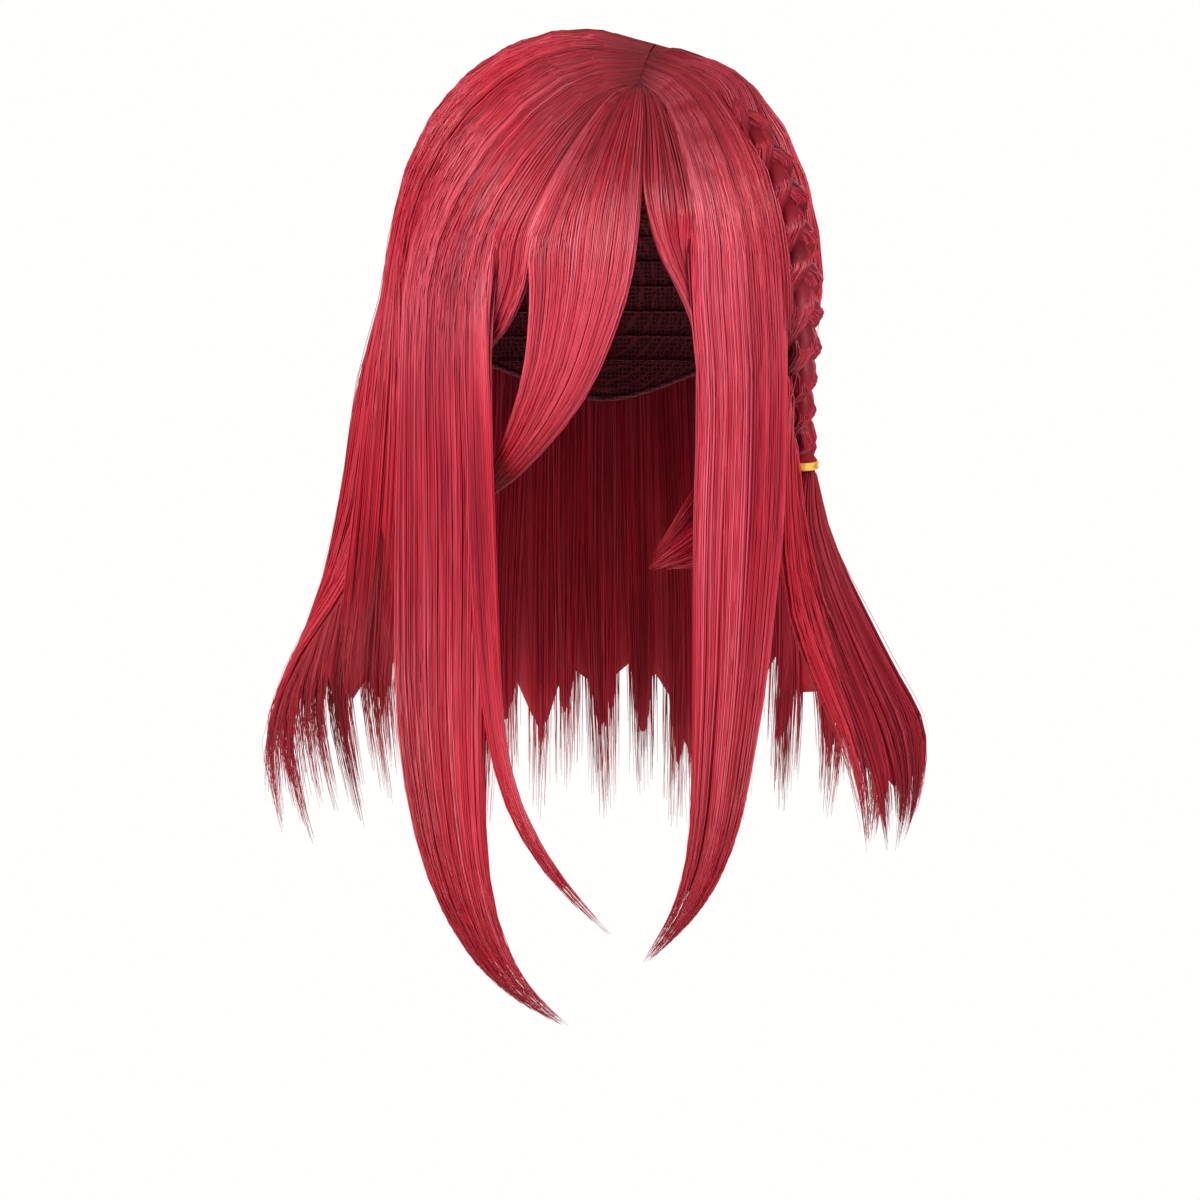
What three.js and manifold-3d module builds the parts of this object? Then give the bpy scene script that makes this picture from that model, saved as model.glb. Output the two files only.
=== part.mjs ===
// A long straight wig with a swept fringe, two long front locks and a three-strand braid on one side.
// Millimetres, +Z up. The face looks along -Y, and left and right are as seen from the front, so right is +X.
// The origin is the inside of the cap's crown, where the wearer's head bears against it.

import * as THREE from "three";
import { mergeVertices } from "three/addons/utils/BufferGeometryUtils.js";
import Module from "manifold-3d";

const wasm = await Module();
wasm.setup();

// The head that the cap fits
const HEAD_WIDTH = 160;
const HEAD_LENGTH = 194;
const CROWN_HEIGHT = 105; // from the head's widest level up to its crown

// The cap and the hair that lies over it
const CAP_WALL = 2;
const CAP_GAP = 0.9; // from the cap to the flat facets under the hair
const CLEARANCE = 0.4; // between neighbouring pieces
const HAIR_DEPTH = 13;
const CROWN_DEPTH = 10; // the hair lies thinner over the crown
const ROOT_DEPTH = 7; // and thinner still at the parting
const FULL_DEPTH = 3.5; // how much thicker it lies halfway down the dome
const EDGE_ROUNDING = 1.2; // how far a lock's outer face falls towards its side edges
const RIDGE = 0.7; // how far the lengthwise ribs of a lock stand out

// How far each piece's tip hangs below the crown
const SIDE_LOCK_LEFT_LENGTH = 416;
const THIN_LOCK_LENGTH = 376;
const SIDE_LOCK_RIGHT_LENGTH = 388;
const SWEEP_LENGTH = 196;
const SHORT_FRINGE_LENGTH = 136;
const RIGHT_FRINGE_LENGTH = 158;
const SHORT_LAYER_LENGTH = 288;
const BACK_LENGTH = 362;
const TAIL_LENGTH = 360;
const NAPE_LOCK_LENGTH = 226;

// How thick each kind of hair is where it hangs free
const SIDE_LOCK_DEPTH = 9;
const THIN_LOCK_DEPTH = 6;
const FRINGE_DEPTH = 6;
const BACK_DEPTH = 8;
const TAIL_DEPTH = 7;
const HEM_POINT = 16; // how far the pointed locks of the back hem stand below the notches between them

// The braid and its band
const BRAID_WIDTH = 32;
const BRAID_THICKNESS = 14;
const BRAID_TURN_LENGTH = 52; // one full turn of a strand through the plait
const BRAID_PROUD = 2.5; // how far the plait stands out of the hair beside it
const NECK_RADIUS = 6.5; // of the bound hair inside the band
const NECK_FLATNESS = 0.8;
const BAND_WIDTH = 3.2;
const BAND_THICKNESS = 1.4;

// Worked out from the sizes above
const UNDER_HAIR = CAP_WALL + CAP_GAP;
const OVER_HAIR = UNDER_HAIR + HAIR_DEPTH;
const HALF_WIDTH = HEAD_WIDTH / 2 + OVER_HAIR;
const HALF_DEPTH = HEAD_LENGTH / 2 + OVER_HAIR;

// The parting: degrees round from the front, and degrees down from the crown
const PARTING_FRONT = { around: 16, reach: 37 };
const PARTING_BACK = { around: 116, reach: 18 };

// Lines on the head where one piece of hair ends and the next begins: where each line leaves the head,
// and which share of the parting it grows from
const SEAMS = {
  backLeft: { around: -125, reach: 88, share: 1 },
  shortLeft: { around: -80, reach: 86, share: 0.45 },
  lockLeft: { around: -66, reach: 84, share: 0.35 },
  fringeLeft: { around: -31, reach: 80, share: 0 },
  notch: { around: -19, reach: 78, share: 0 },
  apex: { around: 10, reach: 68, share: 0 },
  fringeRight: { around: 24, reach: 76, share: 0 },
  lockRight: { around: 54, reach: 78, share: 0.4 },
  feedFront: { around: 54, reach: 99, share: 0.4 },
  feedRight: { around: 76, reach: 99, share: 0.65 },
  backRight: { around: 125, reach: 88, share: 1 },
  backLeftAgain: { around: 235, reach: 88, share: 1 },
};

// The edge of the cap: degrees down from the crown at each angle round from the front, alike on both sides
const CAP_RIM = table(["around", "reach"], [
  [0, 53],
  [40, 56],
  [62, 80],
  [76, 99],
  [98, 97],
  [125, 108],
  [180, 119],
]);

// Hanging sections, from the head down. down is a share of the piece's length, x and y are shares of the
// hair's half width and half depth, bulge is a share of the section's width, depth a share of the hair's depth.
const SECTION = ["down", "fromX", "fromY", "toX", "toY", "bulge", "depth"];

const SIDE_LOCK_LEFT = table(SECTION, [
  [0.31, -0.92, -0.39, -0.52, -0.845, 0.1, 0.95],
  [0.455, -0.95, -0.375, -0.505, -0.775, 0.08, 0.95],
  [0.577, -0.955, -0.41, -0.52, -0.74, 0.08, 0.9],
  [0.673, -0.955, -0.47, -0.53, -0.755, 0.08, 0.85],
  [0.77, -0.9, -0.585, -0.53, -0.79, 0.08, 0.8],
  [0.86, -0.795, -0.685, -0.5, -0.81, 0.1, 0.7],
  [0.925, -0.64, -0.74, -0.42, -0.82, 0.12, 0.55],
  [0.972, -0.46, -0.775, -0.3, -0.83, 0.12, 0.35],
  [1, -0.18, -0.81, -0.14, -0.82, 0, 0.12],
]);

const THIN_LOCK = table(SECTION, [
  [0.3, -0.6, -0.8, -0.53, -0.86, 0, 0.5],
  [0.4, -0.6, -0.79, -0.5, -0.84, 0.1, 0.8],
  [0.52, -0.6, -0.77, -0.48, -0.79, 0.1, 1],
  [0.65, -0.58, -0.765, -0.46, -0.755, 0.1, 1],
  [0.735, -0.545, -0.79, -0.445, -0.77, 0.1, 0.95],
  [0.815, -0.49, -0.81, -0.405, -0.79, 0.1, 0.85],
  [0.87, -0.42, -0.82, -0.33, -0.81, 0.1, 0.75],
  [0.92, -0.305, -0.835, -0.21, -0.825, 0.1, 0.6],
  [0.97, -0.13, -0.85, -0.065, -0.845, 0, 0.4],
  [1, 0.02, -0.86, 0.045, -0.86, 0, 0.15],
]);

const SIDE_LOCK_RIGHT = table(SECTION, [
  [0.29, 0.39, -0.855, 0.82, -0.54, 0.08, 0.95],
  [0.35, 0.43, -0.8, 0.83, -0.5, 0.08, 0.95],
  [0.44, 0.42, -0.765, 0.825, -0.47, 0.08, 0.95],
  [0.525, 0.41, -0.75, 0.82, -0.45, 0.08, 0.9],
  [0.61, 0.41, -0.75, 0.78, -0.45, 0.08, 0.9],
  [0.7, 0.41, -0.765, 0.745, -0.47, 0.08, 0.85],
  [0.785, 0.4, -0.79, 0.68, -0.56, 0.08, 0.8],
  [0.85, 0.39, -0.82, 0.63, -0.65, 0.1, 0.7],
  [0.907, 0.35, -0.845, 0.545, -0.73, 0.1, 0.55],
  [0.955, 0.29, -0.865, 0.42, -0.8, 0.1, 0.35],
  [1, 0.15, -0.88, 0.18, -0.87, 0, 0.12],
]);

const SWEEP = table(SECTION, [
  [0.51, -0.325, -0.935, 0.115, -0.99, 0.06, 1],
  [0.61, -0.335, -0.915, 0.045, -0.975, 0.06, 1],
  [0.715, -0.365, -0.87, -0.04, -0.935, 0.08, 0.95],
  [0.8, -0.42, -0.805, -0.145, -0.885, 0.1, 0.9],
  [0.87, -0.47, -0.725, -0.265, -0.81, 0.1, 0.8],
  [0.94, -0.55, -0.6, -0.4, -0.695, 0.1, 0.55],
  [1, -0.62, -0.49, -0.57, -0.54, 0, 0.2],
]);

const SHORT_FRINGE = table(SECTION, [
  [0.69, -0.495, -0.775, -0.33, -0.93, 0.04, 1],
  [0.76, -0.53, -0.735, -0.355, -0.905, 0.04, 0.95],
  [0.84, -0.55, -0.7, -0.4, -0.855, 0.04, 0.8],
  [0.92, -0.58, -0.645, -0.475, -0.765, 0.04, 0.6],
  [1, -0.62, -0.575, -0.58, -0.62, 0, 0.2],
]);

const RIGHT_FRINGE = table(SECTION, [
  [0.57, 0.26, -0.93, 0.375, -0.79, 0.06, 0.9],
  [0.645, 0.335, -0.87, 0.42, -0.73, 0.06, 0.8],
  [0.75, 0.4, -0.785, 0.465, -0.68, 0.06, 0.7],
  [0.86, 0.44, -0.71, 0.49, -0.64, 0.06, 0.5],
  [1, 0.47, -0.625, 0.49, -0.605, 0, 0.2],
]);

const SHORT_LAYER = table(SECTION, [
  [0.485, -1.08, -0.12, -0.84, -0.43, 0.14, 0.9],
  [0.64, -1.13, -0.09, -0.85, -0.42, 0.14, 0.8],
  [0.8, -1.2, -0.05, -0.87, -0.41, 0.12, 0.7],
  [0.92, -1.24, 0, -0.91, -0.37, 0.1, 0.5],
  [1, -1.22, 0.02, -0.96, -0.29, 0.06, 0.2],
]);

// The two lines down the back where the side panels meet the middle one, with the outer panels' free edges
const BACK_HAIR = table(
  ["down", "seamX", "seamY", "leftX", "leftY", "rightX", "rightY", "bulge", "middleBulge", "rightBulge", "depth"],
  [
    [0.39, 0.86, 0.64, 0.99, -0.17, 0.84, -0.4, 0.22, 0.245, 0.05, 1],
    [0.51, 0.88, 0.71, 1.03, -0.12, 0.82, -0.4, 0.25, 0.17, 0.06, 1],
    [0.635, 0.89, 0.78, 1.15, -0.04, 0.83, -0.36, 0.285, 0.11, 0.13, 0.95],
    [0.7, 0.89, 0.81, 1.36, 0.08, 0.87, -0.3, 0.235, 0.09, 0.19, 0.9],
    [0.765, 0.88, 0.835, 1.5, 0.15, 0.97, -0.22, 0.25, 0.07, 0.25, 0.85],
    [0.83, 0.87, 0.86, 1.6, 0.22, 1.08, -0.13, 0.24, 0.06, 0.28, 0.8],
    [0.9, 0.86, 0.88, 1.63, 0.28, 1.17, -0.02, 0.16, 0.05, 0.29, 0.65],
    [0.955, 0.86, 0.885, 1.58, 0.33, 1.21, 0.07, 0.12, 0.04, 0.26, 0.45],
    [1, 0.87, 0.89, 1.5, 0.37, 1.21, 0.14, 0.1, 0.04, 0.22, 0.2],
  ],
);

const TAIL = table(SECTION, [
  [0.513, 0.93, -0.055, 0.99, 0.05, 0.1, 1.3],
  [0.56, 0.9, -0.085, 1.03, 0.09, 0.08, 1.1],
  [0.64, 0.93, -0.12, 1.14, 0.165, 0.08, 1],
  [0.705, 1, -0.12, 1.26, 0.24, 0.08, 1],
  [0.768, 1.085, -0.09, 1.385, 0.305, 0.08, 0.95],
  [0.833, 1.175, -0.035, 1.52, 0.37, 0.08, 0.85],
  [0.903, 1.26, 0.035, 1.53, 0.41, 0.08, 0.7],
  [0.958, 1.3, 0.09, 1.48, 0.41, 0.08, 0.5],
  [1, 1.33, 0.16, 1.4, 0.35, 0.05, 0.2],
]);

// skew is how much further the far edge hangs, as a share of the piece's length
const NAPE_LOCK = table([...SECTION, "skew"], [
  [0.72, 0.84, -0.17, 0.87, 0, 0, 0.7, 0.02],
  [0.8, 0.66, -0.2, 0.74, -0.08, 0, 0.7, 0.05],
  [0.86, 0.53, -0.27, 0.61, -0.18, 0, 0.6, 0.075],
  [0.905, 0.43, -0.35, 0.49, -0.28, 0, 0.5, 0.08],
  [0.95, 0.3, -0.405, 0.34, -0.37, 0, 0.4, 0.045],
  [0.99, 0.18, -0.44, 0.19, -0.43, 0, 0.2, 0.01],
]);

// The middle line of the braid: while it lies on the head, and then as it hangs free
const BRAID_ON_HEAD = table(["around", "reach", "sink"], [
  [50, 41, 0.35],
  [55, 51, 0.15],
  [59, 62, 0.05],
  [62, 72, 0],
  [64.5, 82, 0],
  [66.5, 92, 0],
]);
const BRAID_HANGING = table(["down", "x", "y"], [
  [0.365, 0.885, -0.27],
  [0.42, 0.88, -0.14],
  [0.465, 0.9, -0.045],
  [0.49, 0.912, -0.01],
  [0.508, 0.92, 0],
]);
// How full the plait is along its length, from its bound neck's size at 0 to its own full size at 1
const BRAID_SHAPE = table(["along", "full"], [
  [0, 0.2],
  [0.15, 0.75],
  [0.35, 1],
  [0.6, 1],
  [0.8, 0.85],
  [0.92, 0.4],
  [0.97, 0],
]);

// Rows of bare values as records with named columns
function table(columns, rows) {
  return rows.map((row) => Object.fromEntries(columns.map((name, i) => [name, row[i] ?? 0])));
}

const { lerp, smoothstep, degToRad } = THREE.MathUtils;

// A column of a table read between its rows, with smooth changes from row to row
function readTable(rows, key, value, column) {
  const last = rows.length - 1;
  const next = rows.findIndex((row) => row[key] > value);
  if (next === 0) return rows[0][column];
  if (next < 0) return rows[last][column];
  const [low, high] = [rows[next - 1], rows[next]];
  return lerp(low[column], high[column], smoothstep(value, low[key], high[key]));
}

// A unit direction from the head's centre
function direction({ around, reach }) {
  const [turn, tilt] = [degToRad(around), degToRad(reach)];
  return new THREE.Vector3(
    Math.sin(tilt) * Math.sin(turn),
    -Math.sin(tilt) * Math.cos(turn),
    Math.cos(tilt),
  );
}

// The point in a direction on the shell that lies lift outside the head
function onHead(dir, lift) {
  return new THREE.Vector3(
    dir.x * (HEAD_WIDTH / 2 + lift),
    dir.y * (HEAD_LENGTH / 2 + lift),
    dir.z * (CROWN_HEIGHT + lift) - CROWN_HEIGHT,
  );
}

// How far outside the head the hair's outer face lies in a direction
function hairLift(dir) {
  const rise = Math.max(0, dir.z) ** 2;
  return UNDER_HAIR + lerp(HAIR_DEPTH, CROWN_DEPTH, rise * rise) + 4 * rise * (1 - rise) * FULL_DEPTH;
}

// A direction part of the way along the great circle from one direction to another
function turnTowards(from, to, share) {
  const angle = from.angleTo(to);
  const [a, b] = [Math.sin((1 - share) * angle), Math.sin(share * angle)];
  return from.clone().multiplyScalar(a).addScaledVector(to, b).normalize();
}

const partingFront = direction(PARTING_FRONT);
const partingBack = direction(PARTING_BACK);

// A point of a hanging section: u runs from its first edge to its second
function onSection(row, length, u, mirror = 1) {
  const from = new THREE.Vector3(row.fromX * HALF_WIDTH * mirror, row.fromY * HALF_DEPTH, -row.down * length);
  const to = new THREE.Vector3(
    row.toX * HALF_WIDTH * mirror,
    row.toY * HALF_DEPTH,
    -(row.down + (row.skew ?? 0)) * length,
  );
  const chord = to.clone().sub(from);
  const outward = new THREE.Vector3(chord.y, -chord.x, 0).normalize();
  return from.lerp(to, u).addScaledVector(outward, 4 * u * (1 - u) * row.bulge * chord.length());
}

// A closed solid from two grids of points of the same size, the outer face and the inner face.
// Rows run down the hair, and columns from left to right as seen from outside.
function shellBetween(outer, inner) {
  const [rows, columns] = [outer.length, outer[0].length];
  const positions = [...outer.flat(), ...inner.flat()].flatMap((p) => p.toArray());
  const index = [];
  const at = (face, r, c) => face * rows * columns + r * columns + c;
  const quad = (a, b, c, d) => index.push(a, b, c, a, c, d);
  for (let r = 0; r < rows - 1; r++) {
    for (let c = 0; c < columns - 1; c++) {
      quad(at(0, r, c), at(0, r + 1, c), at(0, r + 1, c + 1), at(0, r, c + 1));
      quad(at(1, r, c), at(1, r, c + 1), at(1, r + 1, c + 1), at(1, r + 1, c));
    }
    quad(at(1, r, 0), at(1, r + 1, 0), at(0, r + 1, 0), at(0, r, 0));
    quad(at(0, r, columns - 1), at(0, r + 1, columns - 1), at(1, r + 1, columns - 1), at(1, r, columns - 1));
  }
  for (let c = 0; c < columns - 1; c++) {
    quad(at(0, 0, c), at(0, 0, c + 1), at(1, 0, c + 1), at(1, 0, c));
    quad(at(0, rows - 1, c), at(1, rows - 1, c), at(1, rows - 1, c + 1), at(0, rows - 1, c + 1));
  }
  return new THREE.BufferGeometry()
    .setAttribute("position", new THREE.Float32BufferAttribute(positions, 3))
    .setIndex(index);
}

const HEAD_STEPS = 8; // rows of a lock while it lies on the head
const HEM_SHARE = 0.2; // of a lock's sections that its hem's points reach up

// A lock of hair. It grows from the parting, lies over the head between two seams, and then hangs in sections.
// With no seams it only hangs. grow fattens it on every side, to cut its place out of a neighbour.
function lock({
  seams,
  start = 0.008,
  thinFrom = 1,
  sections = [],
  length = 0,
  depth = 0,
  columns = 9,
  points = 0,
  grow = 0,
}) {
  const firstDepth = sections.length ? sections[0].depth * depth : HAIR_DEPTH;
  const pointAt = (row, u) => {
    if (row >= 0) {
      const point = onSection(sections[row], length, u);
      const rise = Math.max(0, sections[row].down - 1 + HEM_SHARE) / HEM_SHARE;
      if (points) point.z += HEM_POINT * rise * Math.abs(Math.cos(Math.PI * points * u));
      return { point };
    }
    const share = lerp(1, start, (-1 - row) / HEAD_STEPS);
    const [a, b] = seams;
    const root = turnTowards(partingFront, partingBack, lerp(a.share, b.share, u));
    const leave = direction({ around: lerp(a.around, b.around, u), reach: lerp(a.reach, b.reach, u) });
    const dir = turnTowards(root, leave, share);
    const lift = lerp(UNDER_HAIR + ROOT_DEPTH, hairLift(dir), smoothstep(share, 0, 0.3));
    const under = lerp(UNDER_HAIR, lift - firstDepth, smoothstep(share, thinFrom, 1));
    return { point: onHead(dir, lift), below: onHead(dir, under) };
  };
  const order = sections.map((_, i) => i);
  if (seams) for (let i = 0; i <= HEAD_STEPS; i++) order.unshift(-1 - i);

  const outer = [];
  const inner = [];
  order.forEach((row, r) => {
    const wide = pointAt(row, 0).point.distanceTo(pointAt(row, 1).point);
    const inset = (CLEARANCE / 2 - grow) / wide;
    const before = order[Math.max(r - 1, 0)];
    const after = order[Math.min(r + 1, order.length - 1)];
    const outerRow = [];
    const innerRow = [];
    for (let c = 0; c < columns; c++) {
      const u = lerp(inset, 1 - inset, c / (columns - 1));
      const { point, below } = pointAt(row, u);
      if (r === 0 && !seams) point.z += 2 * grow;
      const across = pointAt(row, u + 0.02).point.sub(pointAt(row, u - 0.02).point);
      const up = pointAt(before, u).point.sub(pointAt(after, u).point);
      const normal = across.cross(up).normalize();
      const middle = 1 - Math.abs((2 * c) / (columns - 1) - 1) ** 4;
      const fullness = row < 0 ? 1 : Math.min(1, 3 * sections[row].depth);
      const rib = c % 2 ? RIDGE * fullness : 0;
      const fall = grow ? 0 : EDGE_ROUNDING * (1 - middle) * fullness;
      const thick = row < 0 ? 0 : sections[row].depth * depth * lerp(0.45, 1, middle);
      const base = below ?? point.clone().addScaledVector(normal, -thick);
      outerRow.push(point.addScaledVector(normal, grow + rib - fall));
      innerRow.push(base.addScaledVector(normal, -grow));
    }
    outer.push(outerRow);
    inner.push(innerRow);
  });
  return shellBetween(outer, inner);
}

// A closed tube along points. sides gives the direction of the section's first radius at each point.
function tube(points, sides, radii, corners) {
  const positions = [];
  const index = [];
  points.forEach((point, i) => {
    const ahead = points[Math.min(i + 1, points.length - 1)];
    const behind = points[Math.max(i - 1, 0)];
    const tangent = ahead.clone().sub(behind).normalize();
    const first = sides[i].clone().addScaledVector(tangent, -sides[i].dot(tangent)).normalize();
    const second = tangent.clone().cross(first);
    for (let c = 0; c < corners; c++) {
      const turn = (2 * Math.PI * c) / corners;
      const corner = point
        .clone()
        .addScaledVector(first, radii[i][0] * Math.cos(turn))
        .addScaledVector(second, radii[i][1] * Math.sin(turn));
      positions.push(...corner.toArray());
    }
  });
  const last = (points.length - 1) * corners;
  for (let i = 0; i < points.length - 1; i++) {
    for (let c = 0; c < corners; c++) {
      const [a, b] = [i * corners + c, i * corners + ((c + 1) % corners)];
      index.push(a, b, b + corners, a, b + corners, a + corners);
    }
  }
  for (let c = 1; c < corners - 1; c++) {
    index.push(0, c + 1, c, last, last + c, last + c + 1);
  }
  return new THREE.BufferGeometry()
    .setAttribute("position", new THREE.Float32BufferAttribute(positions, 3))
    .setIndex(index);
}

const FACET_TOLERANCE = 0.04; // how far the slivers that a cut leaves may move when they are merged

// A geometry as a solid that can be joined and cut, and back again
function solidOf(geometry) {
  const bare = new THREE.BufferGeometry()
    .setAttribute("position", geometry.getAttribute("position"))
    .setIndex(geometry.index);
  const merged = mergeVertices(bare, 1e-3);
  return new wasm.Manifold(
    new wasm.Mesh({
      numProp: 3,
      vertProperties: new Float32Array(merged.attributes.position.array),
      triVerts: new Uint32Array(merged.index.array),
    }),
  );
}
function geometryOf(solid) {
  const mesh = solid.asOriginal().simplify(FACET_TOLERANCE).getMesh();
  return new THREE.BufferGeometry()
    .setAttribute("position", new THREE.BufferAttribute(new Float32Array(mesh.vertProperties), 3))
    .setIndex(new THREE.BufferAttribute(new Uint32Array(mesh.triVerts), 1));
}
const fused = (...geometries) => geometries.map(solidOf).reduce((a, b) => a.add(b));

// A solid with its neighbours' places cut out, and without the crumbs that such a cut can leave
function cutBy(solid, ...cutters) {
  const pieces = cutters.reduce((a, b) => a.subtract(solidOf(b)), solid).decompose();
  return pieces.reduce((a, b) => (a.volume() > b.volume() ? a : b));
}

// The braid's middle line, with the direction across its face and the direction out of its face
function braidRoute() {
  const onHeadPoints = BRAID_ON_HEAD.map((row) => {
    const dir = direction(row);
    return onHead(dir, hairLift(dir) + BRAID_PROUD - (0.5 + row.sink) * BRAID_THICKNESS);
  });
  const hanging = BRAID_HANGING.map(
    (row) => new THREE.Vector3(row.x * HALF_WIDTH, row.y * HALF_DEPTH, -row.down * TAIL_LENGTH),
  );
  return new THREE.CatmullRomCurve3([...onHeadPoints, ...hanging], false, "centripetal");
}

const route = braidRoute();
const routeLength = route.getLength();
const BRAID_STEPS = 44;
const STRAND_CORNERS = 6;
const STRAND_REACH = 0.48; // how far a strand weaves to each side, and its own half width, by the plait's
const STRAND_RISE = 0.32; // how far it goes over and under the others, by the plait's half thickness
const STRAND_THICKNESS = 0.62; // its own half thickness, likewise
const PLAIT_ROOM = 1.09; // room for the strands' corners round the plait's oval

// The middle line's place and directions, and the plait's half width and half thickness there
function braidFrame(along) {
  const point = route.getPointAt(along);
  const tangent = route.getTangentAt(along);
  const outOfHead = new THREE.Vector3(point.x, point.y * 0.8, Math.max(0, point.z + CROWN_HEIGHT));
  const out = outOfHead.addScaledVector(tangent, -outOfHead.dot(tangent)).normalize();
  const full = readTable(BRAID_SHAPE, "along", along, "full");
  const wide = lerp(NECK_RADIUS, BRAID_WIDTH / 2, full);
  const thick = lerp(NECK_RADIUS * NECK_FLATNESS, BRAID_THICKNESS / 2, full);
  return { point, tangent, out, side: out.clone().cross(tangent), wide, thick };
}

// One of the three strands: it weaves from side to side and passes over and under the others
function braidStrand(number) {
  const [points, sides, radii] = [[], [], []];
  for (let i = 0; i <= BRAID_STEPS; i++) {
    const along = (i / BRAID_STEPS) * (1 - BAND_WIDTH / routeLength);
    const { point, out, side, wide, thick } = braidFrame(along);
    const phase = 2 * Math.PI * ((along * routeLength) / BRAID_TURN_LENGTH + number / 3);
    point.addScaledVector(side, Math.sin(phase) * wide * STRAND_REACH);
    point.addScaledVector(out, Math.sin(2 * phase) * thick * STRAND_RISE);
    points.push(point);
    sides.push(side);
    radii.push([wide * STRAND_REACH, thick * STRAND_THICKNESS]);
  }
  return tube(points, sides, radii, STRAND_CORNERS);
}

// The smooth outer form of the braid, to clear its place in the hair beside and under it
function braidPlace(grow) {
  const [points, sides, radii] = [[], [], []];
  const steps = BRAID_STEPS / 2;
  for (let i = 0; i <= steps; i++) {
    const { point, tangent, side, wide, thick } = braidFrame(i / steps);
    if (i === 0) point.addScaledVector(tangent, -wide / 4 - grow);
    if (i === steps) point.addScaledVector(tangent, 2 * grow);
    points.push(point);
    sides.push(side);
    radii.push([wide * PLAIT_ROOM + grow, thick * PLAIT_ROOM + grow]);
  }
  return tube(points, sides, radii, 12);
}

// The same for its band
function bandPlace(grow) {
  const { point, tangent, side } = braidFrame(1);
  const up = point.clone().addScaledVector(tangent, -BAND_WIDTH - CLEARANCE - grow);
  const down = point.addScaledVector(tangent, grow);
  const radius = NECK_RADIUS + 2 * CLEARANCE + BAND_THICKNESS + grow;
  return tube([up, down], [side, side], [[radius, radius], [radius, radius]], 16);
}

// The bound hair below the plait, which the band goes round
function braidNeck() {
  const { point, tangent, side } = braidFrame(1);
  const up = point.clone().addScaledVector(tangent, -BAND_WIDTH * 2);
  const radii = [NECK_RADIUS, NECK_RADIUS * NECK_FLATNESS];
  return tube([up, point], [side, side], [radii, radii], 12);
}

function braid() {
  return fused(braidStrand(0), braidStrand(1), braidStrand(2), braidNeck());
}

// A flat elastic band, closed round the neck of the braid
function braidBand() {
  const { point, tangent, out, side } = braidFrame(1);
  const turns = 20;
  const ring = (radius, rise) =>
    Array.from({ length: turns + 1 }, (_, i) => {
      const turn = (2 * Math.PI * (i % turns)) / turns;
      return point
        .clone()
        .addScaledVector(side, Math.cos(turn) * radius)
        .addScaledVector(out, Math.sin(turn) * (radius - NECK_RADIUS * (1 - NECK_FLATNESS)))
        .addScaledVector(tangent, rise);
    });
  const inner = NECK_RADIUS + CLEARANCE;
  const outer = inner + BAND_THICKNESS;
  const half = BAND_WIDTH / 2;
  const centre = -half - CLEARANCE;
  const rings = [ring(outer, centre + half), ring(outer, centre - half), ring(inner, centre - half), ring(inner, centre + half)];
  const positions = rings.flatMap((r) => r.slice(0, turns)).flatMap((p) => p.toArray());
  const index = [];
  for (let r = 0; r < rings.length; r++) {
    const below = ((r + 1) % rings.length) * turns;
    for (let i = 0; i < turns; i++) {
      const next = (i + 1) % turns;
      index.push(r * turns + i, below + i, below + next, r * turns + i, below + next, r * turns + next);
    }
  }
  return new THREE.BufferGeometry()
    .setAttribute("position", new THREE.Float32BufferAttribute(positions, 3))
    .setIndex(index);
}

// The cap: a thin dome that is open for the face and reaches down behind the ears to the nape
function cap() {
  const turns = 36;
  const rows = 8;
  const positions = [];
  const index = [];
  const rim = (around) => readTable(CAP_RIM, "around", Math.abs(around), "reach");
  for (const lift of [CAP_WALL, 0]) {
    positions.push(...onHead(new THREE.Vector3(0, 0, 1), lift).toArray());
    for (let r = 1; r <= rows; r++) {
      for (let i = 0; i < turns; i++) {
        const around = (360 * i) / turns - 180;
        positions.push(...onHead(direction({ around, reach: (rim(around) * r) / rows }), lift).toArray());
      }
    }
  }
  const inside = 1 + rows * turns;
  const at = (r, i) => 1 + (r - 1) * turns + (i % turns);
  for (let i = 0; i < turns; i++) {
    index.push(0, at(1, i), at(1, i + 1));
    index.push(inside, inside + at(1, i + 1), inside + at(1, i));
    for (let r = 1; r < rows; r++) {
      const [a, b, c, d] = [at(r, i), at(r + 1, i), at(r + 1, i + 1), at(r, i + 1)];
      index.push(a, b, c, a, c, d);
      index.push(inside + a, inside + c, inside + b, inside + a, inside + d, inside + c);
    }
    const [a, b] = [at(rows, i), at(rows, i + 1)];
    index.push(a, inside + a, inside + b, a, inside + b, b);
  }
  return new THREE.BufferGeometry()
    .setAttribute("position", new THREE.Float32BufferAttribute(positions, 3))
    .setIndex(index);
}

// A lock fattened by a little less than the clearance, which is what it cuts from a neighbour
const clearOf = (shape) => lock({ ...shape, grow: 0.9 * CLEARANCE });

// What each lock is made from
const THIN_FROM = 0.5; // in front of the cap's edge the hair thins from here to where it leaves the head

const sideLockLeft = {
  seams: [SEAMS.lockLeft, SEAMS.fringeLeft],
  thinFrom: THIN_FROM,
  sections: SIDE_LOCK_LEFT,
  length: SIDE_LOCK_LEFT_LENGTH,
  depth: SIDE_LOCK_DEPTH,
};
const thinLock = { sections: THIN_LOCK, length: THIN_LOCK_LENGTH, depth: THIN_LOCK_DEPTH, columns: 5 };
const sideLockRight = {
  seams: [SEAMS.fringeRight, SEAMS.lockRight],
  thinFrom: THIN_FROM,
  sections: SIDE_LOCK_RIGHT,
  length: SIDE_LOCK_RIGHT_LENGTH,
  depth: SIDE_LOCK_DEPTH,
};

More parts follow.
